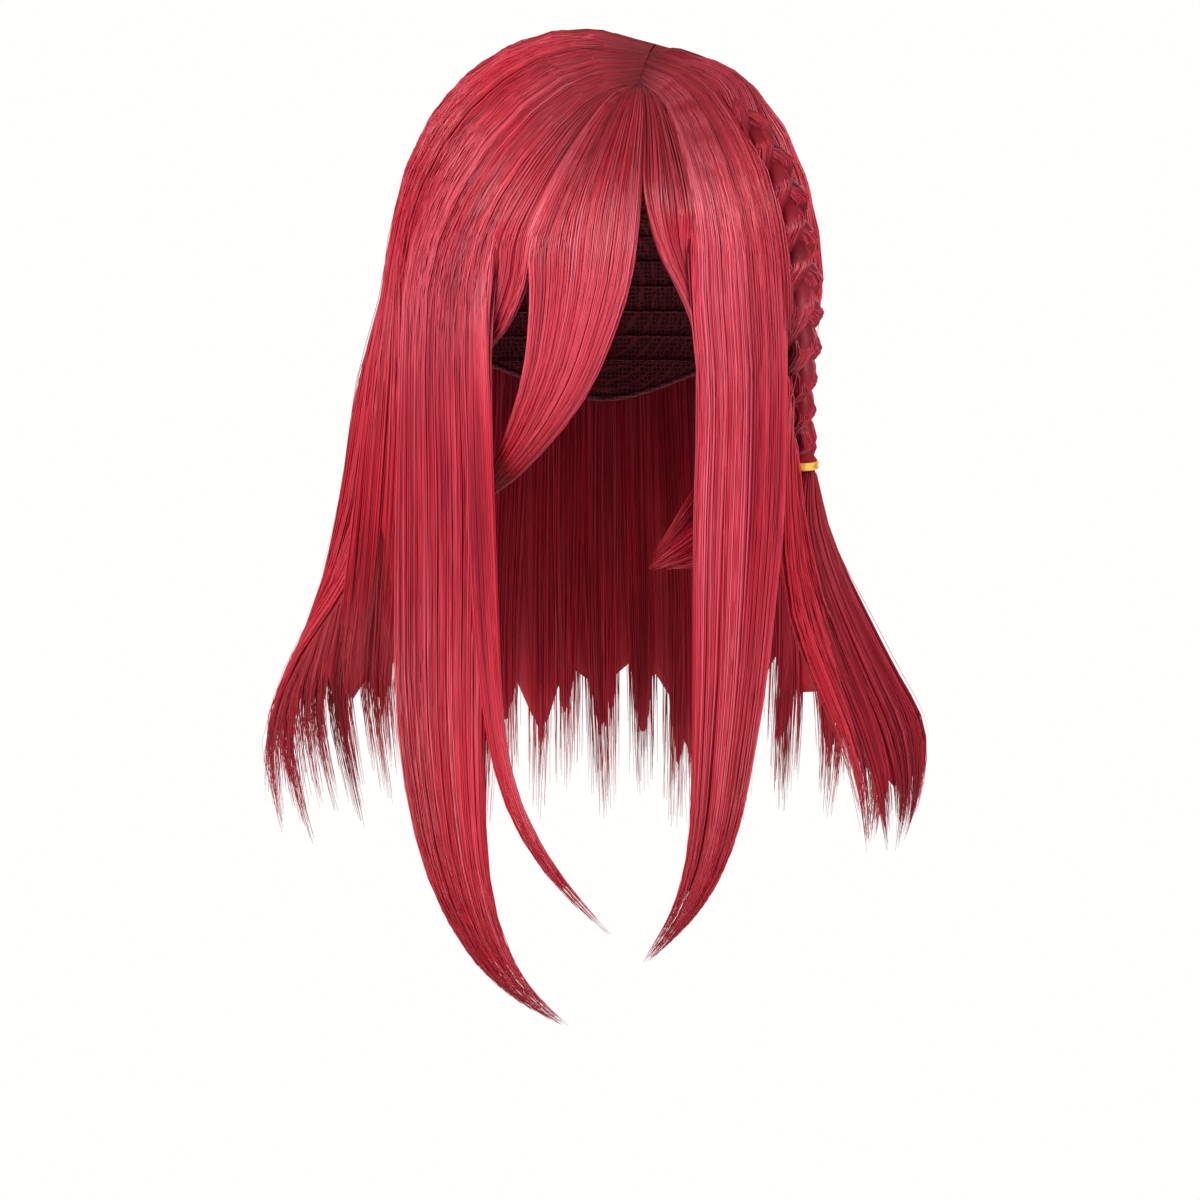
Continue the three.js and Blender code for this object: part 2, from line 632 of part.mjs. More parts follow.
// The fringe: three locks that grow from the front end of the parting
function fringe() {
  const start = 0.04;
  const overlap = 1.5;
  const widen = (a, b, left, right) => [
    { ...a, around: a.around - left },
    { ...b, around: b.around + right },
  ];
  const common = { start, thinFrom: THIN_FROM, depth: FRINGE_DEPTH };
  const { fringeLeft, notch, apex, fringeRight } = SEAMS;
  const locks = [
    { ...common, seams: widen(fringeLeft, notch, 0, overlap), sections: SHORT_FRINGE, length: SHORT_FRINGE_LENGTH, columns: 7 },
    { ...common, seams: [notch, apex], sections: SWEEP, length: SWEEP_LENGTH },
    { ...common, seams: widen(apex, fringeRight, overlap, 0), sections: RIGHT_FRINGE, length: RIGHT_FRINGE_LENGTH, columns: 5 },
  ];
  return cutBy(
    fused(...locks.map(lock)),
    clearOf(sideLockLeft),
    clearOf(thinLock),
    clearOf(sideLockRight),
  );
}

// The three panels of back hair share one table: each takes its own edges from it
function backPanel(from, to, bulge) {
  const edges = {
    seamLeft: (row) => [-row.seamX, row.seamY],
    seamRight: (row) => [row.seamX, row.seamY],
    freeLeft: (row) => [-row.leftX, row.leftY],
    freeRight: (row) => [row.rightX, row.rightY],
  };
  return BACK_HAIR.map((row) => {
    const [fromX, fromY] = edges[from](row);
    const [toX, toY] = edges[to](row);
    return { down: row.down, fromX, fromY, toX, toY, bulge: row[bulge], depth: row.depth };
  });
}
const back = { length: BACK_LENGTH, depth: BACK_DEPTH };
const backLeft = {
  ...back,
  seams: [SEAMS.backLeft, SEAMS.shortLeft],
  sections: backPanel("seamLeft", "freeLeft", "bulge"),
  points: 3,
};
const backMiddle = {
  ...back,
  seams: [SEAMS.backRight, SEAMS.backLeftAgain],
  sections: backPanel("seamRight", "seamLeft", "middleBulge"),
  start: 0.02,
  columns: 15,
  points: 4,
};
const backRight = {
  ...back,
  seams: [SEAMS.feedRight, SEAMS.backRight],
  sections: backPanel("freeRight", "seamRight", "rightBulge"),
  points: 3,
};
const shortLayer = {
  seams: [SEAMS.shortLeft, SEAMS.lockLeft],
  sections: SHORT_LAYER,
  length: SHORT_LAYER_LENGTH,
  depth: BACK_DEPTH,
  columns: 7,
  points: 1,
};
const braidFeed = { seams: [SEAMS.feedFront, SEAMS.feedRight] };
const napeLock = { sections: NAPE_LOCK, length: NAPE_LOCK_LENGTH, depth: FRINGE_DEPTH, columns: 5 };
const tail = { sections: TAIL, length: TAIL_LENGTH, depth: TAIL_DEPTH, points: 1 };

// Materials
const hair = (hex, roughness) => new THREE.MeshStandardMaterial({ color: hex, roughness, metalness: 0 });
const HAIR = hair(0xb83245, 0.42);
const SHADED_HAIR = hair(0x8e1f31, 0.45);
const BRAID_HAIR = hair(0xa12a3c, 0.42);
const NET = hair(0x2e1016, 0.9);
const ELASTIC = hair(0xd9a33c, 0.6);

const wig = new THREE.Group();

function add(name, geometry, material) {
  const mesh = new THREE.Mesh(geometry, material);
  mesh.name = name;
  wig.add(mesh);
}

const braidPlaces = [braidPlace(CLEARANCE), bandPlace(CLEARANCE)];

add("cap", cap(), NET);
add("fringe", geometryOf(fringe()), HAIR);
add("side_lock_left", geometryOf(fused(lock(sideLockLeft), lock(thinLock))), HAIR);
add("side_lock_right", geometryOf(cutBy(solidOf(lock(sideLockRight)), ...braidPlaces)), HAIR);
add("short_layer_left", geometryOf(cutBy(solidOf(lock(shortLayer)), clearOf(sideLockLeft))), SHADED_HAIR);
add(
  "back_hair_left",
  geometryOf(cutBy(solidOf(lock(backLeft)), clearOf(backMiddle), clearOf(shortLayer))),
  SHADED_HAIR,
);
add("back_hair_middle", lock(backMiddle), SHADED_HAIR);
add(
  "back_hair_right",
  geometryOf(
    cutBy(
      fused(lock(backRight), lock(napeLock)),
      ...braidPlaces,
      clearOf(backMiddle),
      clearOf(tail),
      clearOf(sideLockRight),
    ),
  ),
  SHADED_HAIR,
);
add("braid_feed", geometryOf(cutBy(solidOf(lock(braidFeed)), ...braidPlaces, clearOf(sideLockRight))), HAIR);
add("braid", geometryOf(braid()), BRAID_HAIR);
add("braid_band", braidBand(), ELASTIC);
add("braid_tail", lock(tail), BRAID_HAIR);

export default wig;
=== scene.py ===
import math

import bpy
import numpy as np
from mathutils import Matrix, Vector


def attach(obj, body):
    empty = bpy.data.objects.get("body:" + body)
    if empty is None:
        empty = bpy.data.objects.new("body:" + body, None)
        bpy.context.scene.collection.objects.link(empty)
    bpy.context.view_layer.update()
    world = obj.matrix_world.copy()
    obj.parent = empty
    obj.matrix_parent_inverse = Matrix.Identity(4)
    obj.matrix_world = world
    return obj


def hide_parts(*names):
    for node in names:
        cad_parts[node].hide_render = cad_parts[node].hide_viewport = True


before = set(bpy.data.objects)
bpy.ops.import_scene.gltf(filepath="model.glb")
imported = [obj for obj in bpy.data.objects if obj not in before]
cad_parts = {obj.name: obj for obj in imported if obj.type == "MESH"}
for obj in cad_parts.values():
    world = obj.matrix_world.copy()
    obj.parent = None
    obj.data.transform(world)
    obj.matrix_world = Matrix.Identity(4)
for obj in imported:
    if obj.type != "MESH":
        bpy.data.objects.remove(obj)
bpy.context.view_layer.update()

MM = 0.001

# ---------------------------------------------------------------- sizes in mm, as in the part's source
HEAD_WIDTH, HEAD_LENGTH, CROWN_HEIGHT = 160, 194, 105
CAP_WALL, CAP_GAP = 2, 0.9
HAIR_DEPTH, CROWN_DEPTH, ROOT_DEPTH, FULL_DEPTH = 13, 10, 7, 3.5
EDGE_ROUNDING = 1.2
SIDE_LOCK_LEFT_LENGTH, THIN_LOCK_LENGTH, SIDE_LOCK_RIGHT_LENGTH = 416, 376, 388
SWEEP_LENGTH, SHORT_FRINGE_LENGTH, RIGHT_FRINGE_LENGTH = 196, 136, 158
SHORT_LAYER_LENGTH, BACK_LENGTH, TAIL_LENGTH, NAPE_LOCK_LENGTH = 288, 362, 360, 226
SIDE_LOCK_DEPTH, THIN_LOCK_DEPTH, FRINGE_DEPTH, BACK_DEPTH, TAIL_DEPTH = 9, 6, 6, 8, 7
BRAID_WIDTH, BRAID_THICKNESS, BRAID_TURN_LENGTH, BRAID_PROUD = 32, 14, 52, 2.5
NECK_RADIUS, NECK_FLATNESS = 6.5, 0.8
BAND_WIDTH = 3.2

UNDER_HAIR = CAP_WALL + CAP_GAP
OVER_HAIR = UNDER_HAIR + HAIR_DEPTH
HALF_WIDTH, HALF_DEPTH = HEAD_WIDTH / 2 + OVER_HAIR, HEAD_LENGTH / 2 + OVER_HAIR

PARTING_FRONT, PARTING_BACK = (16, 37), (116, 18)

# around, reach, share of the parting
SEAMS = {
    "backLeft": (-125, 88, 1),
    "shortLeft": (-80, 86, 0.45),
    "lockLeft": (-66, 84, 0.35),
    "fringeLeft": (-31, 80, 0),
    "notch": (-19, 78, 0),
    "apex": (10, 68, 0),
    "fringeRight": (24, 76, 0),
    "lockRight": (54, 78, 0.4),
    "feedFront": (54, 99, 0.4),
    "feedRight": (76, 99, 0.65),
    "backRight": (125, 88, 1),
    "backLeftAgain": (235, 88, 1),
}
CAP_RIM = [(0, 53), (40, 56), (62, 80), (76, 99), (98, 97), (125, 108), (180, 119)]

# down, fromX, fromY, toX, toY, bulge, depth, and how much further the far edge hangs
SIDE_LOCK_LEFT = [
    (0.31, -0.92, -0.39, -0.52, -0.845, 0.1, 0.95),
    (0.455, -0.95, -0.375, -0.505, -0.775, 0.08, 0.95),
    (0.577, -0.955, -0.41, -0.52, -0.74, 0.08, 0.9),
    (0.673, -0.955, -0.47, -0.53, -0.755, 0.08, 0.85),
    (0.77, -0.9, -0.585, -0.53, -0.79, 0.08, 0.8),
    (0.86, -0.795, -0.685, -0.5, -0.81, 0.1, 0.7),
    (0.925, -0.64, -0.74, -0.42, -0.82, 0.12, 0.55),
    (0.972, -0.46, -0.775, -0.3, -0.83, 0.12, 0.35),
    (1, -0.18, -0.81, -0.14, -0.82, 0, 0.12),
]
THIN_LOCK = [
    (0.3, -0.6, -0.8, -0.53, -0.86, 0, 0.5),
    (0.4, -0.6, -0.79, -0.5, -0.84, 0.1, 0.8),
    (0.52, -0.6, -0.77, -0.48, -0.79, 0.1, 1),
    (0.65, -0.58, -0.765, -0.46, -0.755, 0.1, 1),
    (0.735, -0.545, -0.79, -0.445, -0.77, 0.1, 0.95),
    (0.815, -0.49, -0.81, -0.405, -0.79, 0.1, 0.85),
    (0.87, -0.42, -0.82, -0.33, -0.81, 0.1, 0.75),
    (0.92, -0.305, -0.835, -0.21, -0.825, 0.1, 0.6),
    (0.97, -0.13, -0.85, -0.065, -0.845, 0, 0.4),
    (1, 0.02, -0.86, 0.045, -0.86, 0, 0.15),
]
SIDE_LOCK_RIGHT = [
    (0.29, 0.39, -0.855, 0.82, -0.54, 0.08, 0.95),
    (0.35, 0.43, -0.8, 0.83, -0.5, 0.08, 0.95),
    (0.44, 0.42, -0.765, 0.825, -0.47, 0.08, 0.95),
    (0.525, 0.41, -0.75, 0.82, -0.45, 0.08, 0.9),
    (0.61, 0.41, -0.75, 0.78, -0.45, 0.08, 0.9),
    (0.7, 0.41, -0.765, 0.745, -0.47, 0.08, 0.85),
    (0.785, 0.4, -0.79, 0.68, -0.56, 0.08, 0.8),
    (0.85, 0.39, -0.82, 0.63, -0.65, 0.1, 0.7),
    (0.907, 0.35, -0.845, 0.545, -0.73, 0.1, 0.55),
    (0.955, 0.29, -0.865, 0.42, -0.8, 0.1, 0.35),
    (1, 0.15, -0.88, 0.18, -0.87, 0, 0.12),
]
SWEEP = [
    (0.51, -0.325, -0.935, 0.115, -0.99, 0.06, 1),
    (0.61, -0.335, -0.915, 0.045, -0.975, 0.06, 1),
    (0.715, -0.365, -0.87, -0.04, -0.935, 0.08, 0.95),
    (0.8, -0.42, -0.805, -0.145, -0.885, 0.1, 0.9),
    (0.87, -0.47, -0.725, -0.265, -0.81, 0.1, 0.8),
    (0.94, -0.55, -0.6, -0.4, -0.695, 0.1, 0.55),
    (1, -0.62, -0.49, -0.57, -0.54, 0, 0.2),
]
SHORT_FRINGE = [
    (0.69, -0.495, -0.775, -0.33, -0.93, 0.04, 1),
    (0.76, -0.53, -0.735, -0.355, -0.905, 0.04, 0.95),
    (0.84, -0.55, -0.7, -0.4, -0.855, 0.04, 0.8),
    (0.92, -0.58, -0.645, -0.475, -0.765, 0.04, 0.6),
    (1, -0.62, -0.575, -0.58, -0.62, 0, 0.2),
]
RIGHT_FRINGE = [
    (0.57, 0.26, -0.93, 0.375, -0.79, 0.06, 0.9),
    (0.645, 0.335, -0.87, 0.42, -0.73, 0.06, 0.8),
    (0.75, 0.4, -0.785, 0.465, -0.68, 0.06, 0.7),
    (0.86, 0.44, -0.71, 0.49, -0.64, 0.06, 0.5),
    (1, 0.47, -0.625, 0.49, -0.605, 0, 0.2),
]
SHORT_LAYER = [
    (0.485, -1.08, -0.12, -0.84, -0.43, 0.14, 0.9),
    (0.64, -1.13, -0.09, -0.85, -0.42, 0.14, 0.8),
    (0.8, -1.2, -0.05, -0.87, -0.41, 0.12, 0.7),
    (0.92, -1.24, 0, -0.91, -0.37, 0.1, 0.5),
    (1, -1.22, 0.02, -0.96, -0.29, 0.06, 0.2),
]
TAIL = [
    (0.513, 0.93, -0.055, 0.99, 0.05, 0.1, 1.3),
    (0.56, 0.9, -0.085, 1.03, 0.09, 0.08, 1.1),
    (0.64, 0.93, -0.12, 1.14, 0.165, 0.08, 1),
    (0.705, 1, -0.12, 1.26, 0.24, 0.08, 1),
    (0.768, 1.085, -0.09, 1.385, 0.305, 0.08, 0.95),
    (0.833, 1.175, -0.035, 1.52, 0.37, 0.08, 0.85),
    (0.903, 1.26, 0.035, 1.53, 0.41, 0.08, 0.7),
    (0.958, 1.3, 0.09, 1.48, 0.41, 0.08, 0.5),
    (1, 1.33, 0.16, 1.4, 0.35, 0.05, 0.2),
]
NAPE_LOCK = [
    (0.72, 0.84, -0.17, 0.87, 0, 0, 0.7, 0.02),
    (0.8, 0.66, -0.2, 0.74, -0.08, 0, 0.7, 0.05),
    (0.86, 0.53, -0.27, 0.61, -0.18, 0, 0.6, 0.075),
    (0.905, 0.43, -0.35, 0.49, -0.28, 0, 0.5, 0.08),
    (0.95, 0.3, -0.405, 0.34, -0.37, 0, 0.4, 0.045),
    (0.99, 0.18, -0.44, 0.19, -0.43, 0, 0.2, 0.01),
]
# down, seamX, seamY, leftX, leftY, rightX, rightY, bulge, middleBulge, rightBulge, depth
BACK_HAIR = [
    (0.39, 0.86, 0.64, 0.99, -0.17, 0.84, -0.4, 0.22, 0.245, 0.05, 1),
    (0.51, 0.88, 0.71, 1.03, -0.12, 0.82, -0.4, 0.25, 0.17, 0.06, 1),
    (0.635, 0.89, 0.78, 1.15, -0.04, 0.83, -0.36, 0.285, 0.11, 0.13, 0.95),
    (0.7, 0.89, 0.81, 1.36, 0.08, 0.87, -0.3, 0.235, 0.09, 0.19, 0.9),
    (0.765, 0.88, 0.835, 1.5, 0.15, 0.97, -0.22, 0.25, 0.07, 0.25, 0.85),
    (0.83, 0.87, 0.86, 1.6, 0.22, 1.08, -0.13, 0.24, 0.06, 0.28, 0.8),
    (0.9, 0.86, 0.88, 1.63, 0.28, 1.17, -0.02, 0.16, 0.05, 0.29, 0.65),
    (0.955, 0.86, 0.885, 1.58, 0.33, 1.21, 0.07, 0.12, 0.04, 0.26, 0.45),
    (1, 0.87, 0.89, 1.5, 0.37, 1.21, 0.14, 0.1, 0.04, 0.22, 0.2),
]
# The braid's middle line: around, reach, sink while it lies on the head, and then down, x, y
BRAID_ON_HEAD = [
    (50, 41, 0.35),
    (55, 51, 0.15),
    (59, 62, 0.05),
    (62, 72, 0),
    (64.5, 82, 0),
    (66.5, 92, 0),
]
BRAID_HANGING = [
    (0.365, 0.885, -0.27),
    (0.42, 0.88, -0.14),
    (0.465, 0.9, -0.045),
    (0.49, 0.912, -0.01),
    (0.508, 0.92, 0),
]
BRAID_SHAPE = [(0, 0.2), (0.15, 0.75), (0.35, 1), (0.6, 1), (0.8, 0.85), (0.92, 0.4), (0.97, 0)]


def back_panel(left, right, bulge):
    """One panel of the back hair, with its edges taken from the table that all three share."""
    edges = {
        "seamLeft": lambda r: (-r[1], r[2]),
        "seamRight": lambda r: (r[1], r[2]),
        "freeLeft": lambda r: (-r[3], r[4]),
        "freeRight": lambda r: (r[5], r[6]),
    }
    return [(r[0], *edges[left](r), *edges[right](r), r[bulge], r[10]) for r in BACK_HAIR]


# A hem: how many pointed locks, how far they gather, how ragged they are, how deep their notches are
FULL_HEM = (9, 0.4, 0.0, 0.03)
SMALL_HEM = (3, 0.4, 0.0, 0.03)


def lock(sections, length, depth, seams=None, thin_from=1.0, hem=FULL_HEM):
    """A lock's form. thin_from: where on its way over the head it starts to thin, as a share."""
    table = np.zeros((len(sections), 8))
    for i, row in enumerate(sections):
        table[i, : len(row)] = row
    return {
        "table": table,
        "length": length,
        "depth": depth,
        "seams": seams and [SEAMS[s] for s in seams],
        "thin_from": thin_from,
        "hem": hem,
    }


def back_lock(left, right, bulge, seams, hem):
    return lock(back_panel(left, right, bulge), BACK_LENGTH, BACK_DEPTH, seams, hem=hem)


# The locks' random numbers start from their places in this table
LOCKS = {
    "side_left": lock(
        SIDE_LOCK_LEFT, SIDE_LOCK_LEFT_LENGTH, SIDE_LOCK_DEPTH, ("lockLeft", "fringeLeft"), 0.5
    ),
    "thin": lock(THIN_LOCK, THIN_LOCK_LENGTH, THIN_LOCK_DEPTH, hem=SMALL_HEM),
    "side_right": lock(
        SIDE_LOCK_RIGHT, SIDE_LOCK_RIGHT_LENGTH, SIDE_LOCK_DEPTH, ("fringeRight", "lockRight"), 0.5
    ),
    "sweep": lock(SWEEP, SWEEP_LENGTH, FRINGE_DEPTH, ("notch", "apex"), 0.5),
    "short_fringe": lock(
        SHORT_FRINGE, SHORT_FRINGE_LENGTH, FRINGE_DEPTH, ("fringeLeft", "notch"), 0.5, SMALL_HEM
    ),
    "right_fringe": lock(
        RIGHT_FRINGE, RIGHT_FRINGE_LENGTH, FRINGE_DEPTH, ("apex", "fringeRight"), 0.5, SMALL_HEM
    ),
    "short_layer": lock(
        SHORT_LAYER, SHORT_LAYER_LENGTH, BACK_DEPTH, ("shortLeft", "lockLeft"), hem=(3, 0.45, 0.03, 0.08)
    ),
    "back_left": back_lock("seamLeft", "freeLeft", 7, ("backLeft", "shortLeft"), (7, 0.4, 0.04, 0.045)),
    "back_middle": back_lock(
        "seamRight", "seamLeft", 8, ("backRight", "backLeftAgain"), (11, 0.36, 0.05, 0.035)
    ),
    "back_right": back_lock("freeRight", "seamRight", 9, ("feedRight", "backRight"), (6, 0.4, 0.05, 0.04)),
    "nape": lock(NAPE_LOCK, NAPE_LOCK_LENGTH, FRINGE_DEPTH, hem=(4, 0.3, 0.1, 0.05)),
    "feed": lock([], 0, 0, ("feedFront", "feedRight"), hem=(6, 0.2, 0, 0)),
    "tail": lock(TAIL, TAIL_LENGTH, TAIL_DEPTH, hem=(4, 0.45, 0.04, 0.07)),
}
LOCK_NUMBER = {key: i for i, key in enumerate(LOCKS)}


# ---------------------------------------------------------------- the hair's flow, as in the part's source
def smoothstep(x, low=0.0, high=1.0):
    t = np.clip((x - low) / (high - low), 0, 1)
    return t * t * (3 - 2 * t)


def mix(a, b, share):
    return a + (b - a) * share


def unit(v):
    return v / np.maximum(np.linalg.norm(v, axis=-1, keepdims=True), 1e-9)


def dot(a, b):
    return (a * b).sum(-1, keepdims=True)


def direction(around, reach):
    turn, tilt = np.radians(around), np.radians(reach)
    return np.stack([np.sin(tilt) * np.sin(turn), -np.sin(tilt) * np.cos(turn), np.cos(tilt) + 0 * turn], -1)


def on_head(way, lift):
    half = np.array([HEAD_WIDTH / 2, HEAD_LENGTH / 2, CROWN_HEIGHT])
    return way * (half + np.asarray(lift)[..., None]) - [0, 0, CROWN_HEIGHT]


def hair_lift(way):
    rise = np.maximum(0, way[..., 2]) ** 2
    return UNDER_HAIR + mix(HAIR_DEPTH, CROWN_DEPTH, rise * rise) + 4 * rise * (1 - rise) * FULL_DEPTH


def turn_towards(a, b, share):
    """A direction part of the way along the great circle from a to b."""
    angle = np.arccos(np.clip(dot(a, b), -1, 1))
    share = np.asarray(share)[..., None]
    return unit(np.sin((1 - share) * angle) * a + np.sin(share * angle) * b)


HEAD_ROWS, PARTING_GAP = 12, 0.0025
LIGHT_SIDE = direction(np.array(PARTING_FRONT[0]), np.array(PARTING_FRONT[1]))
DARK_SIDE = direction(np.array(PARTING_BACK[0]), np.array(PARTING_BACK[1]))


def head_points(shape, u):
    """Outer and inner points over the head, for u of shape (n, HEAD_ROWS)."""
    (a_around, a_reach, a_share), (b_around, b_reach, b_share) = shape["seams"]
    share = np.linspace(PARTING_GAP, 1, HEAD_ROWS)[None] + 0 * u
    root = turn_towards(LIGHT_SIDE, DARK_SIDE, mix(a_share, b_share, u))
    leave = direction(mix(a_around, b_around, u), mix(a_reach, b_reach, u))
    way = turn_towards(root, leave, share)
    lift = mix(UNDER_HAIR + ROOT_DEPTH, hair_lift(way), smoothstep(share, 0, 0.3))
    first = shape["table"][0, 6] * shape["depth"] if len(shape["table"]) else HAIR_DEPTH
    under = mix(UNDER_HAIR, lift - first, smoothstep(share, shape["thin_from"], 1.001))
    return on_head(way, lift), on_head(way, under)


def hanging_points(shape, u):
    """The outer points of the hanging sections, for u of shape (n, sections)."""
    down, from_x, from_y, to_x, to_y, bulge, _, skew = shape["table"].T
    start = np.stack([from_x * HALF_WIDTH, from_y * HALF_DEPTH, -down * shape["length"]], -1)
    end = np.stack([to_x * HALF_WIDTH, to_y * HALF_DEPTH, -(down + skew) * shape["length"]], -1)
    chord = end - start
    outward = unit(np.stack([chord[:, 1], -chord[:, 0], 0 * down], -1))
    swell = (bulge * np.linalg.norm(chord, axis=-1))[:, None]
    w = u[..., None]
    return start + w * chord + outward * (4 * w * (1 - w) * swell)


def faces_of(shape, u):
    """The outer and inner points of a lock's rows, for u of shape (n, rows)."""
    over = HEAD_ROWS if shape["seams"] else 0
    parts = []
    for shift in (0, 0.02, -0.02):
        rows = []
        if over:
            rows.append(head_points(shape, u[:, :over] + shift)[0])
        if len(shape["table"]):
            rows.append(hanging_points(shape, u[:, over:] + shift))
        parts.append(np.concatenate(rows, 1))
    outer, right, left = parts
    down = np.gradient(outer, axis=1)
    normal = unit(np.cross(right - left, -down))
    middle = 1 - np.abs(2 * np.clip(u, 0, 1) - 1) ** 4
    rounding = smoothstep(np.linspace(0, 1, over), 0.75, 1)
    full = np.concatenate([rounding, np.minimum(1, 3 * shape["table"][:, 6])])
    thick = np.concatenate([np.zeros(over), shape["table"][:, 6] * shape["depth"]]) * mix(0.45, 1, middle)
    inner = outer - normal * thick[..., None]
    if over:
        inner[:, :over] = head_points(shape, u[:, :over])[1]
    outer = outer - normal * (EDGE_ROUNDING * (1 - middle) * full)[..., None]
    return outer, inner


HEM_SEED = 500


def gathered(key, u, share):
    """The hair at u drawn into pointed locks: its new u, how much of the length it reaches, how far it is
    drawn in, and how near it is to the border between two locks. A lock lies on each seam at the back."""
    locks, gather, ragged, notch = LOCKS[key]["hem"]
    rng = np.random.default_rng(HEM_SEED + LOCK_NUMBER[key])
    centres = (np.arange(locks) + rng.uniform(0.15, 0.85, locks)) / locks
    if key in ("back_left", "back_middle"):
        centres[0] = 0
    if key in ("back_middle", "back_right"):
        centres[-1] = 1
    which = np.abs(u[:, None] - centres[None]).argmin(1)
    off = centres[which] - u
    border = np.minimum(1, 2 * locks * np.abs(off))
    reach = (1 - ragged * rng.random(locks)[which]) * (1 - notch * border)
    pull = gather * smoothstep(share, 0.5, 1.0)
    turns = share[None] * 1.1 + centres[which][:, None] * 37
    drift = 0.01 * np.sin(2 * np.pi * turns) * smoothstep(share, 0.3, 1)
    return u[:, None] + off[:, None] * pull + drift, reach, pull, border


# ---------------------------------------------------------------- smooth paths from rows
DENSE, SMOOTHING = 72, 9


def curve_weights(knots, samples):
    """Weights that turn values at the knots into a smooth curve's values at the samples."""
    n = len(knots)
    gaps = np.diff(knots)
    slope = np.zeros((n, n))
    for i in range(n):
        before, after = max(i - 1, 0), min(i + 1, n - 1)
        if before == i or after == i:
            slope[i, after] += 1 / (knots[after] - knots[before])
            slope[i, before] -= 1 / (knots[after] - knots[before])
        else:
            share = gaps[i - 1] / (gaps[i - 1] + gaps[i])
            slope[i, after] += share / gaps[i]
            slope[i, i] += (1 - share) / gaps[i - 1] - share / gaps[i]
            slope[i, before] -= (1 - share) / gaps[i - 1]
    at = np.clip(np.searchsorted(knots, samples, "right") - 1, 0, n - 2)
    t = (samples - knots[at]) / gaps[at]
    weights = np.zeros((len(samples), n))
    rows = np.arange(len(samples))
    weights[rows, at] += 2 * t**3 - 3 * t**2 + 1
    weights[rows, at + 1] += 3 * t**2 - 2 * t**3
    weights += ((t**3 - 2 * t**2 + t) * gaps[at])[:, None] * slope[at]
    weights += ((t**3 - t**2) * gaps[at])[:, None] * slope[at + 1]
    return weights


def smooth_paths(rows):
    """Rows of points as dense smooth paths, evenly spaced along their mean length."""
    steps = np.linalg.norm(np.diff(rows, axis=1), axis=-1).mean(0)
    knots = np.concatenate([[0], np.cumsum(steps)])
    paths = np.einsum("dr,nrc->ndc", curve_weights(knots, np.linspace(0, knots[-1], DENSE)), rows)
    for _ in range(SMOOTHING):
        paths[:, 1:-1] = paths[:, :-2] / 4 + paths[:, 1:-1] / 2 + paths[:, 2:] / 4
    return paths, knots[-1]


def along_path(paths, t):
    """Points of each path at its own shares t, of shape (n, k)."""
    at = np.clip(t, 0, 1) * (paths.shape[1] - 1)
    low = np.minimum(at.astype(int), paths.shape[1] - 2)
    part = (at - low)[..., None]
    rows = np.arange(len(paths))[:, None]
    return paths[rows, low] * (1 - part) + paths[rows, low + 1] * part


# ---------------------------------------------------------------- meshes
def finish_piece(name, points, faces, attributes, uv, material, nodes=()):
    """A mesh object from points in millimetres and faces of one size or several groups of sizes."""
    mesh = bpy.data.meshes.new(name)
    loops = np.concatenate([f.ravel() for f in faces])
    totals = np.concatenate([np.full(len(f), f.shape[1]) for f in faces])
    mesh.vertices.add(len(points))
    mesh.vertices.foreach_set("co", (points * MM).astype(np.float32).ravel())
    mesh.loops.add(len(loops))
    mesh.loops.foreach_set("vertex_index", loops.astype(np.int32))
    mesh.polygons.add(len(totals))
    mesh.polygons.foreach_set("loop_start", (np.cumsum(totals) - totals).astype(np.int32))
    mesh.update(calc_edges=True)
    mesh.shade_smooth()
    for key, values in attributes.items():
        layer = mesh.attributes.new(key, "FLOAT", "POINT")
        layer.data.foreach_set("value", np.asarray(values, np.float32).ravel())
    layer = mesh.uv_layers.new(name="OFBake")
    layer.data.foreach_set("uv", np.asarray(uv, np.float32).ravel())
    mesh.materials.append(material)
    piece = bpy.data.objects.new(name, mesh)
    bpy.context.scene.collection.objects.link(piece)
    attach(piece, "root")
    if nodes:
        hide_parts(*nodes)
    return piece


def outward_of(points):
    """Roughly away from the head at each point, and level below its middle."""
    away = points + [0, 0, CROWN_HEIGHT]
    away[..., 2] = np.maximum(away[..., 2], 0)
    return away


def tubes(paths, wide, thick, corners, away=None, turn=0.0):
    """Closed tubes: points (n, k, corners, 3) and the faces of all of them."""
    n, k = paths.shape[:2]
    tangent = unit(np.gradient(paths, axis=1))
    away = outward_of(paths) if away is None else away
    side = unit(np.cross(away, tangent))
    rise = np.cross(tangent, side)
    angle = 2 * np.pi * np.arange(corners) / corners + np.asarray(turn)
    spread_side = (np.cos(angle) * wide[..., None])[..., None]
    spread_rise = (np.sin(angle) * thick[..., None])[..., None]
    points = paths[:, :, None] + side[:, :, None] * spread_side - rise[:, :, None] * spread_rise
    base = (np.arange(n) * k * corners)[:, None, None] + (np.arange(k - 1) * corners)[None, :, None]
    a = np.arange(corners)[None, None]
    b = (a + 1) % corners
    quads = np.stack([base + a, base + b, base + b + corners, base + a + corners], -1).reshape(-1, 4)
    first = (np.arange(n) * k * corners)[:, None]
    ends = [first + np.arange(corners)[None, ::-1], first + (k - 1) * corners + np.arange(corners)[None]]
    return points, quads, np.concatenate(ends)


